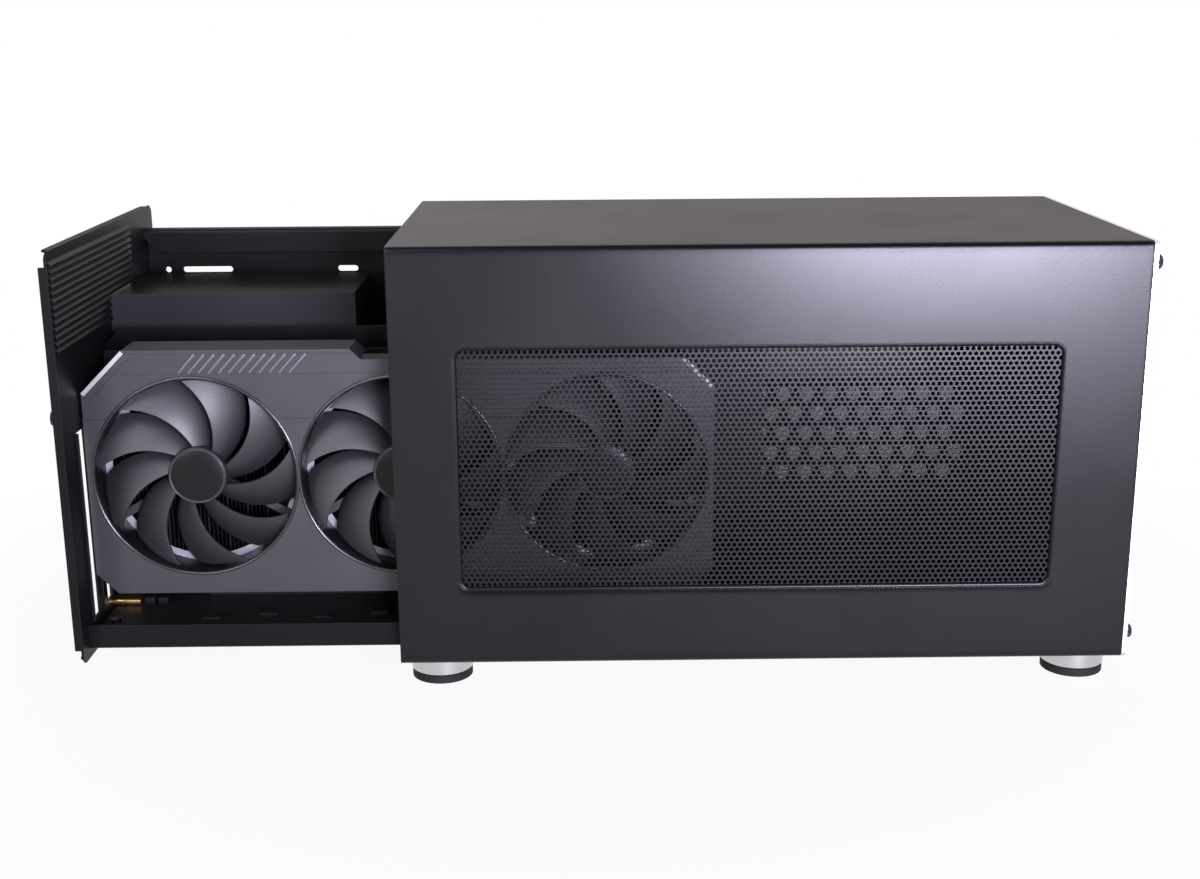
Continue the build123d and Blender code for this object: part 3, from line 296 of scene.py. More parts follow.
class Tree:
    """A shader node tree with short calls for placing, feeding and linking nodes."""

    def __init__(self, tree: NodeTree) -> None:
        """Takes the node tree to work on."""
        self.tree = tree

    def feed(self, socket: Socket, value: object) -> None:
        """Links a socket to an input, or sets the input's value.

        Args:
            socket: the input.
            value: an output to link it to, or a plain value.
        """
        if isinstance(value, bpy.types.NodeSocket):
            self.tree.links.new(value, socket)
        else:
            socket.default_value = value

    def add(self, kind: str, *values: object, **settings: object) -> bpy.types.Node:
        """Places a node.

        Args:
            kind: the node's type without its ShaderNode prefix.
            values: sockets or plain values for its inputs, in their order.
            settings: attributes to set on it, and values for its inputs by their names.

        Returns:
            The node.
        """
        node = self.tree.nodes.new("ShaderNode" + kind)
        for key, value in settings.items():
            if key in node.inputs:
                self.feed(node.inputs[key], value)
            else:
                setattr(node, key, value)
        for socket, value in zip(node.inputs, values):
            self.feed(socket, value)
        return node

    def math(self, operation: str, *values: object) -> Socket:
        """Result of a Math node on sockets or numbers."""
        return self.add("Math", *values, operation=operation).outputs[0]

    def vector(self, operation: str, *values: object) -> Socket:
        """Vector that a Vector Math node gives."""
        return self.add("VectorMath", *values, operation=operation).outputs["Vector"]

    def measure(self, operation: str, *values: object) -> Socket:
        """Number that a Vector Math node gives, such as a length or a dot product."""
        return self.add("VectorMath", *values, operation=operation).outputs["Value"]

    def span(self, value: Socket, source: tuple[object, object], target: Pair) -> Socket:
        """Value carried from one range to another, and held at its ends."""
        return self.add("MapRange", value, *source, *target).outputs[0]

    def blend(self, share: Socket, low: object, high: object) -> Socket:
        """Colour between two colours.

        Args:
            share: 0 for the first colour, 1 for the second.
            low: the first colour.
            high: the second colour.

        Returns:
            The colour.
        """
        node = self.add("Mix", share, data_type="RGBA")
        first, second = MIX_COLOURS
        self.feed(node.inputs[first], low)
        self.feed(node.inputs[second], high)
        return node.outputs[MIX_RESULT]

    def noise(self, place: Socket, scale: object, detail: float, twist: float = 0.0) -> Socket:
        """Noise from 0 to 1 at a place, of a scale in waves a metre."""
        return self.add("TexNoise", Vector=place, Scale=scale, Detail=detail, Distortion=twist).outputs[0]

    def place(self) -> Socket:
        """Object coordinates, which for every piece are those of the row frame."""
        return self.add("TexCoord").outputs["Object"]

    def normal(self) -> Socket:
        """The surface's own normal, without rounding or relief."""
        return self.add("NewGeometry").outputs["True Normal"]


class Group(Tree):
    """A new node group, with its inputs in given."""

    def __init__(self, name: str, vectors: tuple[str, ...], numbers: tuple[str, ...] = ()) -> None:
        """Makes the group and its inputs.

        Args:
            name: the group's name.
            vectors: names of its vector inputs.
            numbers: names of its number inputs.
        """
        super().__init__(bpy.data.node_groups.new(name, "ShaderNodeTree"))
        for kind, names in (("Vector", vectors), ("Float", numbers)):
            for socket in names:
                self.tree.interface.new_socket(socket, in_out="INPUT", socket_type="NodeSocket" + kind)
        self.given = self.tree.nodes.new("NodeGroupInput").outputs

    def done(self, **results: Socket) -> NodeTree:
        """Gives the group its outputs, which are numbers.

        Args:
            results: where they come from, by their names.

        Returns:
            The group's node tree.
        """
        for name in results:
            self.tree.interface.new_socket(name, in_out="OUTPUT", socket_type="NodeSocketFloat")
        output = self.tree.nodes.new("NodeGroupOutput")
        for name, socket in results.items():
            self.feed(output.inputs[name], socket)
        return self.tree


class Pattern(Enum):
    """Surface patterns that a finish can carry, each made by a node group of that name."""

    GRAIN = "even_grain"
    LINES = "drawn_lines"
    RINGS = "turned_rings"
    TRACKS = "board_tracks"
    WEAVE = "woven_wire"


# Noise of the broad patches (waves a metre, detail, twist) and the part of it that is used, detail of the
# grain, layout of the board's tracks and their width as a share of the spacing.
CLOUD = (14.0, 5.0, 0.5)
CLOUD_RANGE = (0.32, 0.68)
GRAIN_DETAIL = 3.0
TRACKS = {"offset": 0.37, "squash": 0.6, "squash_frequency": 3}
TRACK_WIDTH = 0.03

# By how much the cosine rises from no share of a facing surface to the whole.
FACING_RISE = 0.11

# Lean of a rounded edge where its lighter colour begins and is full, and noise that breaks it up (waves a
# metre, detail), the part of it that is used and the share that it leaves. That colour is partly worn
# paint and partly a painted highlight.
WEAR_LEAN = (0.02, 0.25)
WEAR_NOISE = (160.0, 4.0)
WEAR_RANGE = (0.35, 0.65)
WEAR_LEFT = (0.35, 1.0)


@cache
def pattern_group(pattern: Pattern) -> NodeTree:
    """Node group of a pattern.

    Every group takes a Scale in waves a metre, a Stretch along the axes, and the Middle and Half spacing of
    turned rings. It gives a Height and a Patch from 0 to 1: the Height is the fine relief, the Patch the
    broad cloudiness of a handled surface.

    Args:
        pattern: which pattern.

    Returns:
        The group's node tree.
    """
    group = Group(pattern.value, ("Stretch", "Middle", "Half"), ("Scale",))
    place, scale, stretch = group.place(), group.given["Scale"], group.given["Stretch"]
    stretched = group.vector("MULTIPLY", place, stretch)
    if pattern is Pattern.RINGS:
        # Height is the sine of the distance from the nearest of the axes at plus and minus Half from the
        # Middle; a Stretch of 0 along the axes leaves only the distance across them.
        folded = group.vector("ABSOLUTE", group.vector("SUBTRACT", place, group.given["Middle"]))
        across = group.vector("MULTIPLY", group.vector("SUBTRACT", folded, group.given["Half"]), stretch)
        turn = group.math("MULTIPLY", group.measure("LENGTH", across), scale)
        height = group.span(group.math("SINE", turn), (-1.0, 1.0), UNIT)
    elif pattern is Pattern.TRACKS:
        # Height is 1 on the thin joints of a brick pattern, which run as tracks along and across the board.
        bricks = group.add("TexBrick", stretched, Scale=scale, **TRACKS)
        bricks.inputs["Mortar Size"].default_value = TRACK_WIDTH
        height = bricks.outputs["Fac"]
    elif pattern is Pattern.WEAVE:
        # Height is the product of the squared sines of x and z: wires run where either is near 0.
        half_turns = group.math("MULTIPLY", scale, math.pi)
        turn = group.add("VectorMath", stretched, operation="SCALE", Scale=half_turns)
        axes = group.add("SeparateXYZ", turn.outputs[0]).outputs
        both = group.math("MULTIPLY", *(group.math("SINE", axes[axis]) for axis in ("X", "Z")))
        height = group.math("MULTIPLY", both, both)
    else:
        # Height is noise, drawn out into lines where Stretch is small along one axis.
        height = group.noise(stretched, scale, GRAIN_DETAIL)
    return group.done(Height=height, Patch=group.span(group.noise(place, *CLOUD), CLOUD_RANGE, UNIT))


@cache
def facing_group() -> NodeTree:
    """Node group of the way that a surface faces.

    It takes a Normal, a Direction and a Start, and gives Share: 0 where the cosine of the angle between the
    two is Start or less, rising to 1 where it is a little more.

    Returns:
        The group's node tree.
    """
    group = Group("facing_share", ("Normal", "Direction"), ("Start",))
    start = group.given["Start"]
    lean = group.measure("DOT_PRODUCT", group.given["Normal"], group.given["Direction"])
    return group.done(Share=group.span(lean, (start, group.math("ADD", start, FACING_RISE)), UNIT))


@cache
def edge_wear_highlight_group() -> NodeTree:
    """Node group of worn edges with a painted highlight.

    It takes the Rounded normal of a softened edge and gives Wear from 0 to 1: how far that normal
    leans away from the surface's own, broken up by noise. The lighter edge colour there is partly worn
    paint and partly a painted highlight.

    Returns:
        The group's node tree.
    """
    group = Group("worn_highlit_edges", ("Rounded",))
    lean = group.math("SUBTRACT", 1.0, group.measure("DOT_PRODUCT", group.given["Rounded"], group.normal()))
    left = group.span(group.noise(group.place(), *WEAR_NOISE), WEAR_RANGE, WEAR_LEFT)
    return group.done(Wear=group.math("MULTIPLY", group.span(lean, WEAR_LEAN, UNIT), left))


# Finishes


# How much more the relief lightens the colour than the patches do, cosines where a flat and a folded
# surface begin, and rays for the normals of rounded and of folded edges.
RELIEF_TONE = 1.5
FLAT_START = 0.87
FOLD_START = 0.73
EDGE_SAMPLES = 4
FOLD_SAMPLES = 8


@dataclass(frozen=True)
class Finish:
    """A finish: one surface shader whose colour, roughness and relief follow a pattern."""

    colour: Triple
    roughness: float
    metallic: float = 0.0  # 0 or 1
    specular: float = 0.5  # level of the clear reflection
    pattern: Pattern = Pattern.GRAIN  # the fine relief
    scale: float = 1400.0  # waves a metre of the relief
    stretch: Triple = (1.0, 1.0, 1.0)  # how much the relief is squeezed along x, y and z
    middle: Triple = (0.0, 0.0, 0.0)  # middle of the axes of turned rings
    half: Triple = (0.0, 0.0, 0.0)  # half the distances between those axes
    relief: float = 0.03 * MM  # height of the relief
    tone: float = 0.12  # share by which the relief and the patches change the colour
    cloud: float = 0.04  # by how much the patches change the roughness
    edge: float = 0.35 * MM  # radius by which edges are rounded in the shading
    worn_highlit: Triple | None = None  # colour of edges, partly worn and partly a painted highlight
    dust: float = 0.0  # roughness that settled dust adds to upward faces
    painted: tuple[Triple, Triple] | None = None  # direction of faces that take another colour, and that colour: painted shade on tops, a painted reflection tint, a dark inside
    dark_reflection_folds: tuple[Triple, ...] = ()  # directions of the folded edges, which are painted as a dark reflection
    fold_painted_reflection: Triple = (0.008, 0.0075, 0.009)  # colour of that painted dark reflection
    fold_reach: float = 5.0 * MM  # how far those edges spread over the faces beside them
    gap: float = 1.0  # height of the relief above which a gauze is open, or 1

    def shade(self, share: float) -> tuple[float, ...]:
        """The colour, lightened or darkened by a share."""
        return (*(min(1.0, c * (1 + share)) for c in self.colour), 1.0)

    @staticmethod
    def facing(tree: Tree, direction: Triple, start: float, normal: Socket) -> Socket:
        """Share of a surface that faces along a direction, from the cosine at which it begins."""
        inputs = {"Normal": normal, "Direction": direction, "Start": start}
        return tree.add("Group", node_tree=facing_group(), **inputs).outputs["Share"]

    def material(self, name: str) -> bpy.types.Material:
        """Builds the material.

        Args:
            name: the material's name.

        Returns:
            The material.
        """
        material = bpy.data.materials.new(name)
        material.use_nodes = True
        tree = Tree(material.node_tree)
        shader = material.node_tree.nodes["Principled BSDF"].inputs
        inputs = {"Scale": self.scale, "Stretch": self.stretch, "Middle": self.middle, "Half": self.half}
        relief = tree.add("Group", node_tree=pattern_group(self.pattern), **inputs).outputs
        height, patch = relief["Height"], relief["Patch"]
        cloudy = tree.blend(patch, self.shade(-self.tone), self.shade(self.tone))
        colour = tree.blend(height, cloudy, self.shade(self.tone * RELIEF_TONE))
        roughness = tree.span(patch, UNIT, (self.roughness - self.cloud, self.roughness + self.cloud))
        bump = tree.add("Bump", Distance=self.relief, Height=height)
        shader["Metallic"].default_value = self.metallic
        shader["Specular IOR Level"].default_value = self.specular
        if self.dust:
            upward = self.facing(tree, UPWARD, FLAT_START, tree.normal())
            roughness = tree.math("ADD", roughness, tree.math("MULTIPLY", upward, self.dust))
        # Faces that look along the direction take another colour. This is painted shade on the tops of the
        # shroud and the supply, a painted reflection tint on the cover's top, and the end plate's dark,
        # unmetallic inside.
        if self.painted:
            direction, paint = self.painted
            share = self.facing(tree, direction, FLAT_START, tree.normal())
            colour = tree.blend(share, colour, (*paint, 1.0))
            if self.metallic:
                tree.feed(shader["Metallic"], tree.span(share, UNIT, (self.metallic, 0.0)))
        if self.gap < 1.0:
            tree.feed(shader["Alpha"], tree.math("LESS_THAN", height, self.gap))
        if self.edge:
            rounded = tree.add("Bevel", samples=EDGE_SAMPLES, Radius=self.edge).outputs[0]
            tree.feed(bump.inputs["Normal"], rounded)
            # Edges take a lighter colour, partly worn paint and partly a painted highlight.
            if self.worn_highlit:
                edge_wear_highlight = tree.add("Group", node_tree=edge_wear_highlight_group(), Rounded=rounded).outputs["Wear"]
                colour = tree.blend(edge_wear_highlight, colour, (*self.worn_highlit, 1.0))
        # Folded edges are painted near black and fully metallic. This is a painted dark reflection along
        # the bends.
        if self.dark_reflection_folds:
            wide = tree.add("Bevel", samples=FOLD_SAMPLES, Radius=self.fold_reach).outputs[0]
            shares = [self.facing(tree, direction, FOLD_START, wide) for direction in self.dark_reflection_folds]
            folded = tree.math("MAXIMUM", *shares)
            colour = tree.blend(folded, colour, (*self.fold_painted_reflection, 1.0))
            tree.feed(shader["Metallic"], tree.span(folded, UNIT, (self.metallic, 1.0)))
        tree.feed(shader["Roughness"], roughness)
        tree.feed(shader["Base Color"], colour)
        tree.feed(shader["Normal"], bump.outputs[0])
        return material


def ring_scale(pitch: float) -> float:
    """Scale of rings of a pitch."""
    return 2 * math.pi / pitch


def turned_feet(radius: float = 14.75 * MM) -> Finish:
    """Finish of the four feet, with rings about each foot's axis.

    Args:
        radius: of a foot, by which its axis lies inside the box of all four.

    Returns:
        The finish.
    """
    low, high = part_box("feet")
    centre, half = (low + high) / 2, (high - low) / 2
    return Finish(
        (0.48, 0.48, 0.49), 0.24, 1.0, pattern=Pattern.RINGS, scale=ring_scale(0.8 * MM),
        stretch=(1.0, 1.0, 0.0), middle=(centre.x, centre.y, 0.0),
        half=(half.x - radius, half.y - radius, 0.0), relief=0.02 * MM, tone=0.08,
    )


def slot_finishes() -> dict[str, Finish]:
    """The finish of each of the record's material slots, by the slot's name.

    Returns:
        The finishes.
    """
    upright = {"pattern": Pattern.LINES, "stretch": (1.0, 1.0, 0.02)}
    slant = math.sqrt(0.5)
    return {
        # The cover's upward faces are painted a lighter, warmer colour, which is a painted reflection tint
        # on its top. Its front and back folds are painted as a dark reflection.
        "cover_black": Finish(
            (0.006, 0.0057, 0.007), 0.26, specular=0.25, scale=1100.0, relief=0.007 * MM, cloud=0.02,
            edge=1.6 * MM, worn_highlit=(0.012, 0.0115, 0.014), dust=0.26,
            painted=(UPWARD, (0.034, 0.016, 0.018)), dark_reflection_folds=((0.0, -slant, slant), (0.0, slant, slant)),
        ),
        "mesh_black": Finish((0.007, 0.0067, 0.0085), 0.28, specular=0.25, cloud=0.02, edge=0.0),
        "chassis_black": Finish(
            (0.005, 0.005, 0.006), 0.42, specular=0.11, worn_highlit=(0.04, 0.039, 0.045), dust=0.2
        ),
        "plate_silver": Finish(
            (0.62, 0.62, 0.64), 0.34, 1.0, scale=2600.0, relief=0.008 * MM,
            painted=((-1.0, 0.0, 0.0), (0.006, 0.006, 0.007)), **upright,
        ),
        "foot_silver": turned_feet(),
        "rubber_black": Finish((0.01, 0.01, 0.011), 0.7, specular=0.2, relief=0.05 * MM),
        "screw_black": Finish((0.03, 0.03, 0.034), 0.35, 1.0),
        "screw_steel": Finish((0.55, 0.55, 0.57), 0.28, 1.0, relief=0.01 * MM),
        "board_black": Finish(
            (0.013, 0.0135, 0.0145), 0.4, specular=0.2, pattern=Pattern.TRACKS, scale=90.0,
            stretch=(1.0, 2.3, 1.6), tone=0.5,
        ),
        "connector_black": Finish((0.008, 0.008, 0.009), 0.42, specular=0.25),
        "port_gold": Finish((0.5, 0.33, 0.14), 0.3, 1.0, relief=0.01 * MM),
        "port_steel": Finish((0.5, 0.5, 0.52), 0.36, 1.0, relief=0.012 * MM),
        # Chips and coils are coloured almost black. This is painted shade under the card.
        "chip_grey": Finish((0.012, 0.012, 0.013), 0.5, specular=0.1),
        # The shroud's upward faces are painted almost black. This is painted shade, because little light
        # falls on its top.
        "shroud_grey": Finish(
            (0.039, 0.038, 0.046), 0.4, specular=0.45, scale=1600.0, relief=0.025 * MM, tone=0.08,
            worn_highlit=(0.12, 0.118, 0.13), dust=0.45, painted=(UPWARD, (0.007, 0.007, 0.0075)),
        ),
        "trim_silver": Finish((0.32, 0.315, 0.33), 0.6, 1.0, relief=0.006 * MM),
        "fan_black": Finish((0.019, 0.0185, 0.0225), 0.5, scale=1800.0, relief=0.02 * MM),
        # The heat sink's aluminium is coloured almost black. This is painted shade for the dark space
        # behind the fans.
        "sink_aluminium": Finish(
            (0.014, 0.014, 0.015), 0.55, 1.0, scale=2200.0, relief=0.01 * MM, **upright
        ),
        # The supply's upward faces are painted darker. This is painted shade on its top.
        "psu_black": Finish(
            (0.04, 0.0385, 0.045), 0.3, specular=0.03, scale=1200.0, worn_highlit=(0.10, 0.098, 0.11),
            painted=(UPWARD, (0.012, 0.012, 0.013)),
        ),
        "plastic_black": Finish((0.006, 0.006, 0.007), 0.28, specular=0.2),
    }


def all_finishes() -> dict[str, Finish]:
    """The finishes of the slots, those of single nodes and the variants that added pieces wear.

    Returns:
        The finishes, by the name of the slot, node or variant.
    """
    made = slot_finishes()
    blade = replace(
        made["fan_black"], pattern=Pattern.RINGS, scale=ring_scale(1.9 * MM), stretch=(1.0, 0.0, 1.0),
        relief=0.006 * MM, tone=0.1,
    )
    for node in ("fan_rotor_1", "fan_rotor_2", "fan_rotor_3", "psu_fan_rotor"):
        low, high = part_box(node)
        made[node] = replace(blade, middle=tuple((low + high) / 2))
    made["card_bracket"] = Finish((0.03, 0.03, 0.033), 0.36, 1.0, relief=0.012 * MM)
    # The backplate is coloured almost black. This is painted shade on the band behind the shroud's top.
    made["card_backplate"] = Finish((0.004, 0.004, 0.005), 0.4, specular=0.08, dust=0.3)
    made["board_screws"] = made["screw_black"]
    shroud = replace(made["shroud_grey"], worn_highlit=None, dust=0.0, painted=None)
    made["shroud_bar"] = replace(shroud, colour=(0.16, 0.155, 0.175))
    made["rim_gloss"] = replace(shroud, colour=(0.02, 0.0195, 0.024), roughness=0.2, specular=0.6)
    made["hub_ring"] = replace(made["trim_silver"], colour=(0.05, 0.05, 0.055), roughness=0.4)
    made["fan_ledge"] = Finish((0.5, 0.49, 0.54), 0.35)
    cover = replace(made["cover_black"], dust=0.0, painted=None, dark_reflection_folds=())
    made["window_rim"] = replace(cover, specular=0.15, edge=0.0)
    wire = replace(made["mesh_black"], roughness=0.7, specular=0.1)
    made["vent_gauze"] = replace(wire, pattern=Pattern.WEAVE, scale=1 / (0.6 * MM), gap=0.58)
    return made


FINISHES = all_finishes()


@cache
def finish_of(name: str) -> bpy.types.Material:
    """Material of the finish of a slot, node or variant, made on first use."""
    return FINISHES[name].material("finish_" + name)


# Sub-assemblies


@dataclass(frozen=True)
class ThumbScrew:
    """A knurled thumb screw head with a domed steel centre, turned about x."""

    radius: float  # over the knurl
    length: float  # of the head
    flutes: int = 28  # of the knurl
    notch: float = 0.07  # depth of a flute as a share of the radius
    tip: Pair = (0.42, 0.9)  # radius of the centre and height of its foot, as shares of the head's
    tip_steps: int = 32  # points round the centre

    def head(self) -> Shape:
        """Head from z 0 to its length: shoulder, knurled barrel, chamfer and a dished end.

        Returns:
            Points and quads about z.
        """
        height = np.array([0, 0, 0.1, 0.14, 0.2, 0.82, 0.88, 1, 1, 0.93, 0.93]) * self.length
        radius = np.array([0, 0.82, 0.86, 0.98, 1, 1, 0.97, 0.8, 0.62, 0.56, 0]) * self.radius
        fluted = np.array([0, 0, 0, 1, 1, 1, 1, 0, 0, 0, 0])
        profile = np.column_stack([height, radius, fluted])
        return turned(profile, 4 * self.flutes, self.flutes, self.notch)

    def centre(self) -> Shape:
        """Domed end of the shaft in the dish: a flat cap of circle arc section.

        Returns:
            Points and quads about z.
        """
        tilt = np.linspace(0, np.pi / 2, ARC)
        radius, foot = self.tip[0] * self.radius, self.tip[1] * self.length
        height = foot + (self.length - foot) * np.sin(tilt)
        dome = np.column_stack([height, radius * np.cos(tilt), 0 * tilt])
        return turned(np.vstack([(foot, 0, 0), dome]), self.tip_steps)

    def build(self, node: str, places: Array, body: str, outward: float) -> None:
        """Builds knurled heads in place of a node of plain thumb screws.

        Args:
            node: the node that they stand for.
            places: where the heads meet their plate.
            body: the body that they ride on.
            outward: 1 if the heads point along +x, -1 if along -x.
        """
        flip = np.array([outward, outward, 1.0])
        points, quads = self.head()
        heads = many((along(points, Axis.X) * flip, quads), places)
        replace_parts(add_piece(node + "_heads", heads, body, "screw_black"), node)
        points, quads = self.centre()
        tips = many((along(points, Axis.X) * flip, quads), places)
        add_piece(node + "_tips", tips, body, "screw_steel")


@dataclass
class Cover:
    """The outer cover with its window, end plate and feet."""

    hole_pitch: float = 2.65 * MM  # distance between the window's holes
    hole_across: float = 1.8 * MM  # width of a hole
    window: Pair = (274.5 * MM, 114.5 * MM)  # length and height of the window
    window_corner: float = 5.0 * MM  # radius of its corners
    window_rim: float = 1.2 * MM  # width of the rolled rim inside it
    corner_steps: int = 9  # points round a corner of that rim
    vent: Pair = (276.0 * MM, 66.0 * MM)  # length and height of the dust gauze over the vent
    vent_middle: Pair = (166.2 * MM, 63.6 * MM)  # its middle from the cover's right end and underside
    vent_steps: tuple[int, int] = (49, 15)  # points of the gauze along its length and height
    gauze: Pair = (0.2 * MM, 0.6 * MM)  # thickness of that gauze, and how far it stands off the wall
    gauze_power: int = 8  # how flat its tray is
    wall: float = 1.5 * MM  # thickness of the cover
    lip: Pair = (3.7 * MM, 140.0 * MM)  # reach and length of the lip at the base plate's end
    lip_sheet: float = 0.5 * MM  # its thickness
    end_screw: ThumbScrew = ThumbScrew(3.2 * MM, 4.0 * MM)  # thumb screw of the end plate

    def build(self) -> None:
        """Builds the pieces."""
        self.build_window()
        self.build_window_rim()
        self.build_screen()
        self.build_lip()
        self.build_screws()

    def build_window(self) -> None:
        """Perforated sheet behind the window, a row wider than the opening, of the node's depth."""
        low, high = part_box("window_mesh")
        centre = (low + high) / 2
        columns = math.ceil(self.window[0] / self.hole_pitch) + 1
        rows = math.ceil(self.window[1] / (self.hole_pitch * math.sqrt(3) / 2)) + 1
        flat, quads = perforated(columns, rows, self.hole_pitch, self.hole_across)
        points = rows_of(flat[:, 0] + centre.x, low.y, flat[:, 1] + centre.z)
        sheet = add_piece("window_sheet", (points, quads), "cover", "mesh_black", sheet=high.y - low.y)
        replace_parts(sheet, "window_mesh")

    def build_window_rim(self) -> None:
        """Rolled rim inside the window, from the cover's face back to the perforated sheet.

        Section point i lies inwards from the opening's edge by width * sin(t) and back by
        depth * (1 - cos(t)), with t from 0 to a quarter turn, and the section closes along the opening's
        edge. Outline point j lies at that distance inside the rounded rectangle: at its corner's middle
        plus (corner radius - distance) * (cos a, sin a).
        """
        low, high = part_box("window_mesh")
        centre = (low + high) / 2
        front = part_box("outer_cover")[0].y
        depth = low.y - front
        turn = np.linspace(0, np.pi / 2, ARC)
        inward = np.concatenate([self.window_rim * np.sin(turn), [0, 0]])[:, None]
        back = np.concatenate([depth * (1 - np.cos(turn)), [depth, 0]])[:, None]
        corner = np.repeat(np.arange(4), self.corner_steps)
        angle = np.tile(np.linspace(0, np.pi / 2, self.corner_steps), 4) + corner * np.pi / 2
        reach = np.array(self.window) / 2 - self.window_corner
        side = np.array([(1, 1), (-1, 1), (-1, -1), (1, -1)])[corner] * reach
        radius = self.window_corner - inward
        x = side[:, 0] + centre.x + radius * np.cos(angle)
        z = side[:, 1] + centre.z + radius * np.sin(angle)
        shape = rows_of(x, front + back, z), grid_quads(*x.shape, closed=True)
        add_piece("window_rim", shape, "cover", "cover_black", "window_rim")

    def build_screen(self) -> None:
        """Wire gauze against dust on the inside of the back wall, pressed to a shallow tray over its vent.

        With u and v from -1 to 1 along its length and height, it stands off the wall by the gauze's
        distance times (1 - u ** power) * (1 - v ** power).
        """
        low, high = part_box("outer_cover")
        u, v = np.meshgrid(*(np.linspace(-1, 1, steps) for steps in self.vent_steps))
        sheet, off = self.gauze
        tray = (1 - u**self.gauze_power) * (1 - v**self.gauze_power)
        y = high.y - self.wall - 2 * sheet - off * tray
        x = high.x - self.vent_middle[0] + u * self.vent[0] / 2
        z = low.z + self.vent_middle[1] + v * self.vent[1] / 2
        shape = rows_of(x, y, z), grid_quads(*u.shape)
        add_piece("vent_gauze", shape, "cover", "mesh_black", "vent_gauze", sheet)

    def build_lip(self) -> None:
        """Lip that closes the gap between the base plate's end and the end plate.

        Its section carries the plate on for half the reach, then bends down along a quarter circle; point
        (i, j) is section point i at length j.
        """
        low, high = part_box("base_plate")
        bend = self.lip[0] / 2
        angle = np.linspace(np.pi / 2, 0, ARC)
        outer = bend * np.column_stack([1 + np.cos(angle), np.sin(angle) - 1])
        section = np.vstack([(0, 0), outer, outer[::-1] - self.lip_sheet, (0, -self.lip_sheet)])
        middle, half = (low.y + high.y) / 2, self.lip[1] / 2
        points, quads = prism(section + (high.x, high.z), middle - half, middle + half)
        add_piece("base_lip", (points[:, [0, 2, 1]], quads), "cover", "chassis_black")

    def build_screws(self) -> None:
        """Four thumb screws of the end plate, at the corners of their node's box."""
        low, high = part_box("end_thumbscrews")
        inset = self.end_screw.radius
        y, z = np.meshgrid((low.y + inset, high.y - inset), (low.z + inset, high.z - inset))
        places = rows_of(high.x - self.end_screw.length, y, z)
        self.end_screw.build("end_thumbscrews", places, "cover", 1.0)


@dataclass
class Chassis:
    """The drawn-out chassis: tray, rear panel and interface board."""

    rear_screw: ThumbScrew = ThumbScrew(4.2 * MM, 11.0 * MM)  # thumb screw over an expansion slot
    slots: int = 3
    slot: Triple = (12.1 * MM, 15.4 * MM, 92.5 * MM)  # a slot's width, rise over the panel's foot, height
    fold: Pair = (1.5 * MM, 0.8 * MM)  # reach and thickness of the fold at the empty slot
    coils: int = 2  # number of coils beside the data port
    coil: Triple = (5.0 * MM, 5.0 * MM, 3.6 * MM)
    coil_row: Pair = (4.0 * MM, 6.5 * MM)  # the first coil from the port's end, and their pitch
    coil_back: float = 5.0 * MM  # their middle in front of the port's back
    chips: int = 5  # number of chips along the board's front
    chip: Triple = (9.0 * MM, 7.0 * MM, 1.2 * MM)
    chip_edge: float = 0.1  # sharpness of its edges, as the power of a rounded block
    chip_row: Pair = (52.0 * MM, 27.0 * MM)  # the first chip from the board's left end, and their pitch
    chip_in: Pair = (10.0 * MM, 5.0 * MM)  # even chips from the board's front, and odd ones from those

    def build(self) -> None:
        """Builds the pieces."""
        self.build_screws()
        self.build_fold()
        self.build_board_parts()

    def slot_middles(self) -> Array:
        """The slots' middles along y, evenly spaced under the thumb screws."""
        low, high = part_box("rear_thumbscrews")
        return np.linspace(low.y + self.rear_screw.radius, high.y - self.rear_screw.radius, self.slots)

    def build_screws(self) -> None:
        """Thumb screws in a row over the expansion slots."""
        low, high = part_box("rear_thumbscrews")
        places = rows_of(low.x + self.rear_screw.length, self.slot_middles(), (low.z + high.z) / 2)
        self.rear_screw.build("rear_thumbscrews", places, "chassis", -1.0)

    def build_fold(self) -> None:
        """Fold at the front edge of the empty slot, from the panel's inner face, where the supply seats.

        Its section runs inwards from the slot's edge and ends in a half circle of the sheet's thickness.
        """
        width, rise, height = self.slot
        reach, sheet = self.fold
        angle = np.linspace(-np.pi / 2, np.pi / 2, ARC)
        end = np.column_stack([reach + sheet / 2 * (np.cos(angle) - 1), sheet / 2 * (np.sin(angle) - 1)])
        edge = (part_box("psu_case")[0].x, self.slot_middles()[0] - width / 2)
        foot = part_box("rear_panel")[0].z + rise
        shape = prism(np.vstack([(0, 0), (0, -sheet), end]) + edge, foot, foot + height)
        add_piece("slot_fold", shape, "chassis", "chassis_black")

    def build_board_parts(self) -> None:
        """Coils beside the data port and chips along the front of the interface board."""
        low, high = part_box("interface_board")
        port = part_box("data_port")[1]
        x = port.x + self.coil_row[0] + self.coil_row[1] * np.arange(self.coils)
        places = rows_of(x, port.y - self.coil_back, high.z + self.coil[2] / 2)
        # The coils and chips wear the almost black chip finish, which is painted shade.
        add_piece("board_coils", many(rounded_block(self.coil), places), "chassis", "chip_grey")
        number = np.arange(self.chips)
        x = low.x + self.chip_row[0] + self.chip_row[1] * number
        y = low.y + self.chip_in[0] + self.chip_in[1] * (number % 2)
        places = rows_of(x, y, high.z + self.chip[2] / 2)
        chips = many(rounded_block(self.chip, power=self.chip_edge), places)
        add_piece("board_chips", chips, "chassis", "chip_grey")


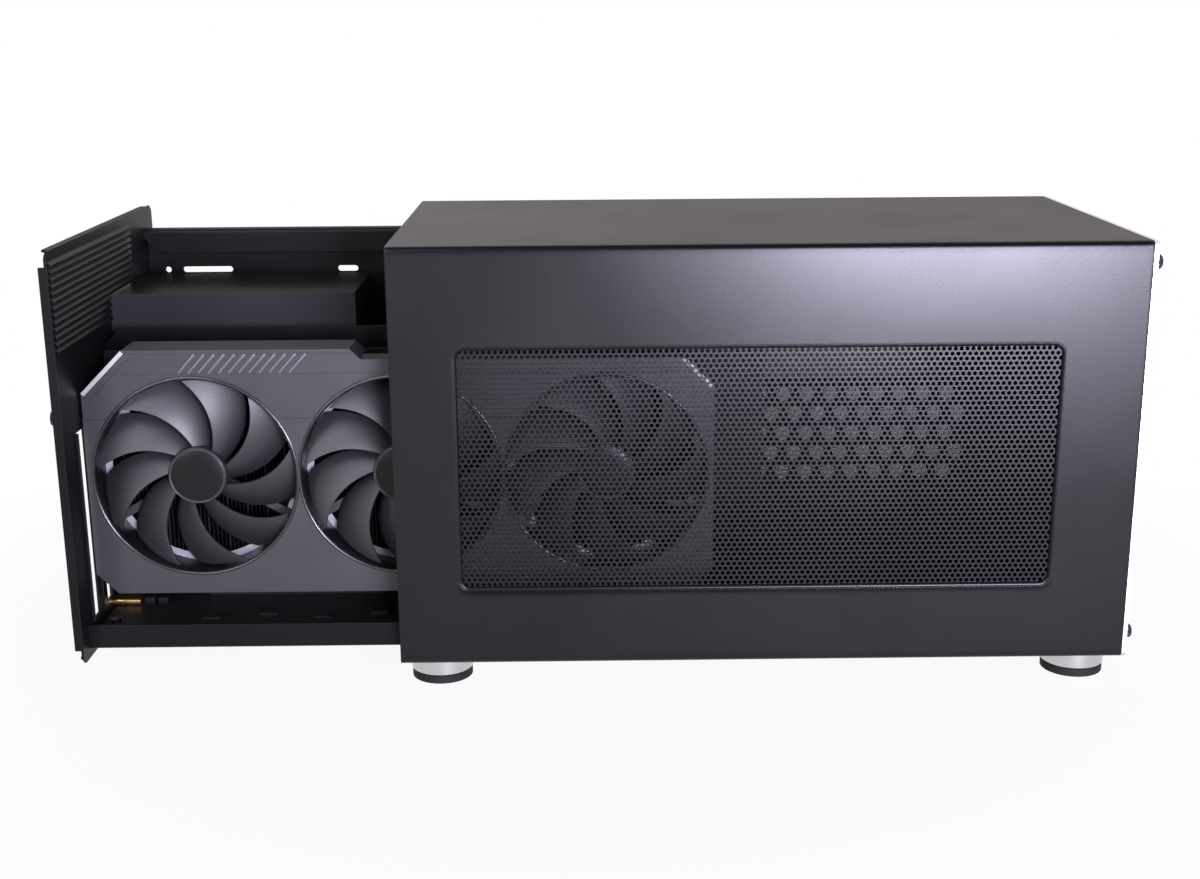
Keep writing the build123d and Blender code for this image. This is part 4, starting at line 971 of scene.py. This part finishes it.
@dataclass
class GraphicsCard:
    """The card with its three fans."""

    fans: int = 3
    cap_radius: float = 12.42 * MM  # of the cap on a fan's hub
    cap_rise: float = 0.7 * MM  # rise of that cap
    cap_sunk: float = 0.2 * MM  # how far its edge goes into the hub
    cap_steps: int = 64  # points round a cap
    hub_ring: Pair = (13.18 * MM, 0.3 * MM)  # radius of the ring round a cap, and of its wire
    ring_steps: tuple[int, int] = (96, 13)  # points round that ring, and round its wire
    opening: float = 47.5 * MM  # radius of a fan's opening in the shroud
    opening_steps: int = 144  # points round an opening
    rim: Pair = (1.3 * MM, 0.5 * MM)  # width and rise of the bead round an opening
    rim_out: float = 0.7 * MM  # distance of the bead's middle from the opening's edge
    shade_sheet: Pair = (0.05 * MM, 0.3 * MM)  # distances of the two faces of the sheet of painted shade from the duct's wall
    ledge: Pair = (3.3 * MM, 0.5 * MM)  # width and thickness of the ledge at the duct's foot
    ledge_gap: float = 0.5 * MM  # its distance behind the rotor
    fin_gaps: int = 4  # fine fins between two coarse fins
    fin_sheet: float = 0.35 * MM  # thickness of a fine fin
    fin_less: Pair = (3.2 * MM, 1.0 * MM)  # how much less deep and high it is than the heat sink
    fin_in: float = 0.2 * MM  # its front edge behind the heat sink's
    coarse_pitch: float = 9.7 * MM  # distance between coarse fins
    bars: int = 12  # number of slanted bars
    bar: Pair = (12.3 * MM, 1.3 * MM)  # length and width of a bar
    bar_lean: float = 48.0  # its lean, in degrees
    bar_start: float = 50.0 * MM  # place of the first bar from the shroud's left edge
    bar_pitch: float = 4.7 * MM  # distance between bars
    bar_drop: float = 6.5 * MM  # their middle below the shroud's top edge
    bar_floor: float = 1.6 * MM  # depth of the grooves' floor behind the shroud's foremost point
    bar_rise: float = 0.8 * MM  # thickness of a bar

    def build(self) -> None:
        """Builds the pieces."""
        for number in range(1, self.fans + 1):
            self.build_hub(number)
            self.build_duct(number)
        self.build_bars()
        self.build_fins()

    def turned_on(self, number: int, level: float, section: Array, steps: int) -> Shape:
        """Surface turned about a fan's axis.

        Args:
            number: the fan's number.
            level: y of the section's zero height.
            section: rows of (height towards the front, radius).
            steps: points round the axis.

        Returns:
            Points in the row frame, and quads.
        """
        low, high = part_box(f"fan_rotor_{number}")
        points, quads = turned(np.column_stack([section, 0 * section[:, 0]]), steps)
        middle = ((low.x + high.x) / 2, level, (low.z + high.z) / 2)
        return along(points, Axis.Y) * np.array([1.0, -1.0, 1.0]) + middle, quads

    def build_hub(self, number: int) -> None:
        """Domed cap on a hub and the ring round it.

        The cap's section is height = rise * (1 - (r / radius) ** 4) over the hub's face, and the ring's a
        circle.

        Args:
            number: the fan's number.
        """
        front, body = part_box(f"fan_rotor_{number}")[0].y, f"fan_{number}"
        share = np.linspace(0, 1, DOME)
        dome = np.column_stack([self.cap_rise * (1 - share**4), self.cap_radius * share])
        cap = np.vstack([dome, (-self.cap_sunk, self.cap_radius), (-self.cap_sunk, 0)])
        shape = self.turned_on(number, front, cap, self.cap_steps)
        add_piece(f"hub_cap_{number}", shape, body, "plastic_black")
        steps, wire_steps = self.ring_steps
        angle = np.linspace(0, 2 * np.pi, wire_steps)
        major, minor = self.hub_ring
        ring = np.column_stack([minor * np.sin(angle), major + minor * np.cos(angle)])
        shape = self.turned_on(number, front, ring, steps)
        add_piece(f"hub_ring_{number}", shape, body, "trim_silver", "hub_ring")

    def build_duct(self, number: int) -> None:
        """Bead on the shroud round a fan's opening, a black sheet of painted shade on the duct's wall, and
        the pale ledge at its foot.

        The bead's section is a half ellipse of the rim's width and rise, closed underneath. The black
        sheet's section is a thin upright strip against the duct's wall, and the ledge's a flat strip just
        behind the rotor.

        Args:
            number: the fan's number.
        """
        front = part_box("fan_shroud")[0].y
        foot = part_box(f"fan_rotor_{number}")[1].y + self.ledge_gap
        width, rise = self.rim
        angle = np.linspace(0, np.pi, DOME)
        radius = self.opening + self.rim_out + width / 2 * np.cos(angle)
        bead = np.column_stack([rise * np.sin(angle), radius])
        outer, inner = (self.opening - distance for distance in self.shade_sheet)
        lap, deep = self.shade_sheet[1], foot - front
        tube = [(lap, outer), (-deep, outer), (-deep, inner), (0, inner), (lap, outer)]
        width, sheet = self.ledge
        tip = inner - width
        strip = [(0, tip), (0, inner), (-sheet, inner), (-sheet, tip), (0, tip)]
        for name, level, section, slot, variant in (
            ("fan_rim", front, np.vstack([bead, bead[:1]]), "shroud_grey", "rim_gloss"),
            # A black sheet on the duct's wall, which is painted shade.
            ("fan_shade_sheet", front, np.array(tube), "plastic_black", ""),
            ("fan_ledge", foot, np.array(strip), "trim_silver", "fan_ledge"),
        ):
            shape = self.turned_on(number, level, section, self.opening_steps)
            add_piece(f"{name}_{number}", shape, "chassis", slot, variant)

    def build_bars(self) -> None:
        """Pale bars in the shroud's slanted grooves.

        A bar's outline is a stadium: half circles of half its width at both ends of its length, turned by
        its lean, raised as a flat plate with sloped sides.
        """
        low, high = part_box("fan_shroud")
        half = np.linspace(-np.pi / 2, np.pi / 2, ARC)
        radius, reach = self.bar[1] / 2, (self.bar[0] - self.bar[1]) / 2
        end = np.column_stack([reach + radius * np.cos(half), radius * np.sin(half)])
        lean = math.radians(self.bar_lean)
        turn = np.array([[math.cos(lean), math.sin(lean)], [-math.sin(lean), math.cos(lean)]])
        outline = np.vstack([end, -end]) @ turn
        share = np.array([0.0, 1.0, 1.0, 0.8, 0.0])[:, None]
        depth = np.array([0.0, 0.0, -0.6, -0.9, -0.9])[:, None] * self.bar_rise
        bar = rows_of(share * outline[:, 0], depth, share * outline[:, 1])
        quads = grid_quads(len(share), len(outline), closed=True)
        x = low.x + self.bar_start + self.bar_pitch * np.arange(self.bars)
        places = rows_of(x, low.y + self.bar_floor, high.z - self.bar_drop)
        add_piece("shroud_bars", many((bar, quads), places), "chassis", "shroud_grey", "shroud_bar")

    def build_fins(self) -> None:
        """Thin fins between the heat sink's coarse ones, each a sheet a little smaller than the sink."""
        low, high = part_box("heat_sink")
        centre = (low + high) / 2
        fine = self.coarse_pitch / (self.fin_gaps + 1)
        count = int((high.x - low.x) / fine) // 2
        number = np.arange(-count, count + 1)
        x = centre.x + number[np.abs(number) % (self.fin_gaps + 1) > 0] * fine
        depth = high.y - low.y - self.fin_less[0]
        size = (self.fin_sheet, depth, high.z - low.z - self.fin_less[1])
        corner = np.array([(-1, -1, -1), (1, -1, -1), (1, 1, -1), (-1, 1, -1)])
        sheet = np.vstack([corner, corner * (1, 1, -1)]) * size / 2
        k = np.arange(4)
        sides = np.column_stack([k, (k + 1) % 4, (k + 1) % 4 + 4, k + 4])
        quads = np.vstack([(0, 3, 2, 1), (4, 5, 6, 7), sides])
        places = rows_of(x, low.y + depth / 2 + self.fin_in, centre.z)
        # The fine fins wear the heat sink's almost black colour, which is painted shade.
        add_piece("fine_fins", many((sheet, quads), places), "chassis", "sink_aluminium")


# Stage


@dataclass(frozen=True)
class Softbox:
    """A flat studio light."""

    name: str
    place: Triple  # where it stands
    target: Triple  # the point that it faces
    width: float  # of its face
    height: float  # of its face
    radiance: float  # brightness of its face, where 1 is white
    colour: Triple = (1.0, 1.0, 1.0)  # of its light
    sheen: bool = False  # whether it shows only in reflections

    def build(self) -> None:
        """Makes the lamp, whose power is pi times its radiance and area."""
        lamp = bpy.data.lights.new(self.name, "AREA")
        lamp.shape = "RECTANGLE"
        lamp.size = self.width
        lamp.size_y = self.height
        lamp.energy = math.pi * self.radiance * self.width * self.height
        lamp.color = self.colour
        holder = placed(self.name, lamp)
        holder.visible_diffuse = not self.sheen
        aim = (Vector(self.target) - Vector(self.place)).to_track_quat("-Z", "Y")
        holder.matrix_world = Matrix.Translation(self.place) @ aim.to_matrix().to_4x4()


# A key light at the front right, its sheen on the cover, and fainter lights round the object.
LIGHTS = (
    Softbox("key_softbox", (0.52, -1.4, 0.42), (0.0, -0.06, 0.1), 0.6, 0.4, 28.0, LAVENDER),
    Softbox("sheen_softbox", (0.48, -1.5, 0.13), (0.15, -0.09, 0.13), 0.46, 0.2, 150.0, LAVENDER, True),
    Softbox("top_softbox", (-0.1, -0.2, 1.5), (0.0, 0.0, 0.1), 1.6, 1.2, 0.1),
    Softbox("left_softbox", (-0.85, -1.3, 0.45), (-0.15, -0.05, 0.1), 0.4, 0.4, 14.0),
    Softbox("high_softbox", (-0.5, -0.95, 1.05), (-0.15, -0.06, 0.1), 0.6, 0.5, 12.0, LAVENDER, True),
    Softbox("back_softbox", (-0.7, 1.4, 1.0), (0.0, 0.0, 0.1), 0.8, 0.5, 1.5),
)


@dataclass(frozen=True)
class PhotoCamera:
    """The camera of the photograph."""

    offset: Triple = (0.0876, -0.6976, 0.2961)  # its place from the cover's lowest corner
    yaw: float = -0.557  # turn to the left, in degrees
    pitch: float = 15.026  # look downwards, in degrees
    roll: float = 0.392  # in degrees
    focal: float = 1592.67 / 1200  # focal length in image widths
    sensor: float = 36.0  # width of the sensor, in millimetres

    def build(self) -> None:
        """Makes the camera and has the scene use it."""
        data = bpy.data.cameras.new("camera")
        data.sensor_width = self.sensor
        data.lens = self.focal * self.sensor
        camera = placed("camera", data)
        turn = (
            Matrix.Rotation(math.radians(self.yaw), 3, "Z")
            @ Matrix.Rotation(math.radians(-self.pitch), 3, "X")
            @ Matrix.Rotation(math.radians(self.roll), 3, "Y")
        )
        stand = Matrix.Rotation(math.radians(90), 3, "X")
        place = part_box("outer_cover")[0] + Vector(self.offset)
        camera.matrix_world = Matrix.Translation(place) @ (turn @ stand).to_4x4()
        bpy.context.scene.camera = camera


@dataclass
class Studio:
    """Pale floor, white surroundings, soft lights and the camera."""

    reach: float = 8.0  # radius of the floor
    grid: tuple[int, int] = (24, 64)  # rings of the floor, and points round a ring
    greys: Pair = (0.9, 0.93)  # darkest and lightest grey of the floor
    grey_noise: Pair = (3.0, 3.0)  # noise between them, in waves a metre, and its detail
    matt: float = 0.9  # roughness of the floor
    ambient: float = 0.1  # brightness of the surroundings as light
    clear: Pair = (0.25, 0.45)  # radii between which the floor passes into the white background
    haze: float = 0.92  # share of that white already under the object
    camera: PhotoCamera = PhotoCamera()
    lights: tuple[Softbox, ...] = LIGHTS

    def build(self) -> None:
        """Builds the stage."""
        bpy.context.scene.view_settings.view_transform = "Standard"
        self.camera.build()
        for light in self.lights:
            light.build()
        self.build_floor()
        self.build_world()

    def seen(self, tree: Tree) -> Socket:
        """Share of a ray that shows the background.

        Args:
            tree: the tree of a material or the world.

        Returns:
            1 for camera, glossy and transmission rays, else 0.
        """
        path = tree.add("LightPath").outputs
        glossy = tree.math("MAXIMUM", path["Is Camera Ray"], path["Is Glossy Ray"])
        return tree.math("MAXIMUM", glossy, path["Is Transmission Ray"])

    def build_floor(self) -> None:
        """Round floor: ring i from the middle has the radius reach * (i / (rows - 1)) ** 2."""
        rows, columns = self.grid
        radius = self.reach * (np.arange(rows) / (rows - 1)) ** 2
        points, quads = turned(np.column_stack([0 * radius, radius[::-1], 0 * radius]), columns)
        mesh = bpy.data.meshes.new("floor")
        mesh.from_pydata(points, [], quads)
        floor = placed("floor", mesh)
        mesh.materials.append(self.floor_material())

    def floor_material(self) -> bpy.types.Material:
        """Matt grey that passes into white with the distance, for rays that show the background.

        Returns:
            The material.
        """
        material = bpy.data.materials.new("pale_floor")
        material.use_nodes = True
        tree = Tree(material.node_tree)
        nodes = material.node_tree.nodes
        shader = nodes["Principled BSDF"]
        low, high = ((grey, grey, grey, 1.0) for grey in self.greys)
        tone = tree.noise(tree.place(), *self.grey_noise)
        tree.feed(shader.inputs["Base Color"], tree.blend(tone, low, high))
        shader.inputs["Roughness"].default_value = self.matt
        shader.inputs["Specular IOR Level"].default_value = 0.0
        far = tree.span(tree.measure("LENGTH", tree.place()), self.clear, (self.haze, 1.0))
        share = tree.math("MULTIPLY", far, self.seen(tree))
        cover = tree.add("MixShader", share, shader.outputs[0], tree.add("Emission").outputs[0])
        tree.feed(nodes["Material Output"].inputs["Surface"], cover.outputs[0])
        return material

    def build_world(self) -> None:
        """Surroundings that are white to look at and give a dimmer even light."""
        world = bpy.data.worlds.new("studio")
        world.use_nodes = True
        bpy.context.scene.world = world
        tree = Tree(world.node_tree)
        sky = world.node_tree.nodes["Background"].inputs
        sky["Color"].default_value = (1, 1, 1, 1)
        tree.feed(sky["Strength"], tree.span(self.seen(tree), UNIT, (self.ambient, 1.0)))


def dress_nodes() -> None:
    """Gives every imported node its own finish, or that of its slot in the record, in all its slots."""
    for row in frame["record"]["subparts"]:
        node, slot = row["node"], row["material_slot"]
        material = finish_of(node if node in FINISHES else slot)
        worn = frame["nodes"][node].data.materials
        if not worn:
            worn.append(material)
        for place in range(len(worn)):
            worn[place] = material
        log.info("%s wears %s", node, slot)


def main() -> None:
    """Builds the stage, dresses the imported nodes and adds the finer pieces."""
    Studio().build()
    dress_nodes()
    for part in (Cover(), Chassis(), GraphicsCard()):
        part.build()
        log.info("%s is built", type(part).__name__)


if __name__ == "__main__":
    main()
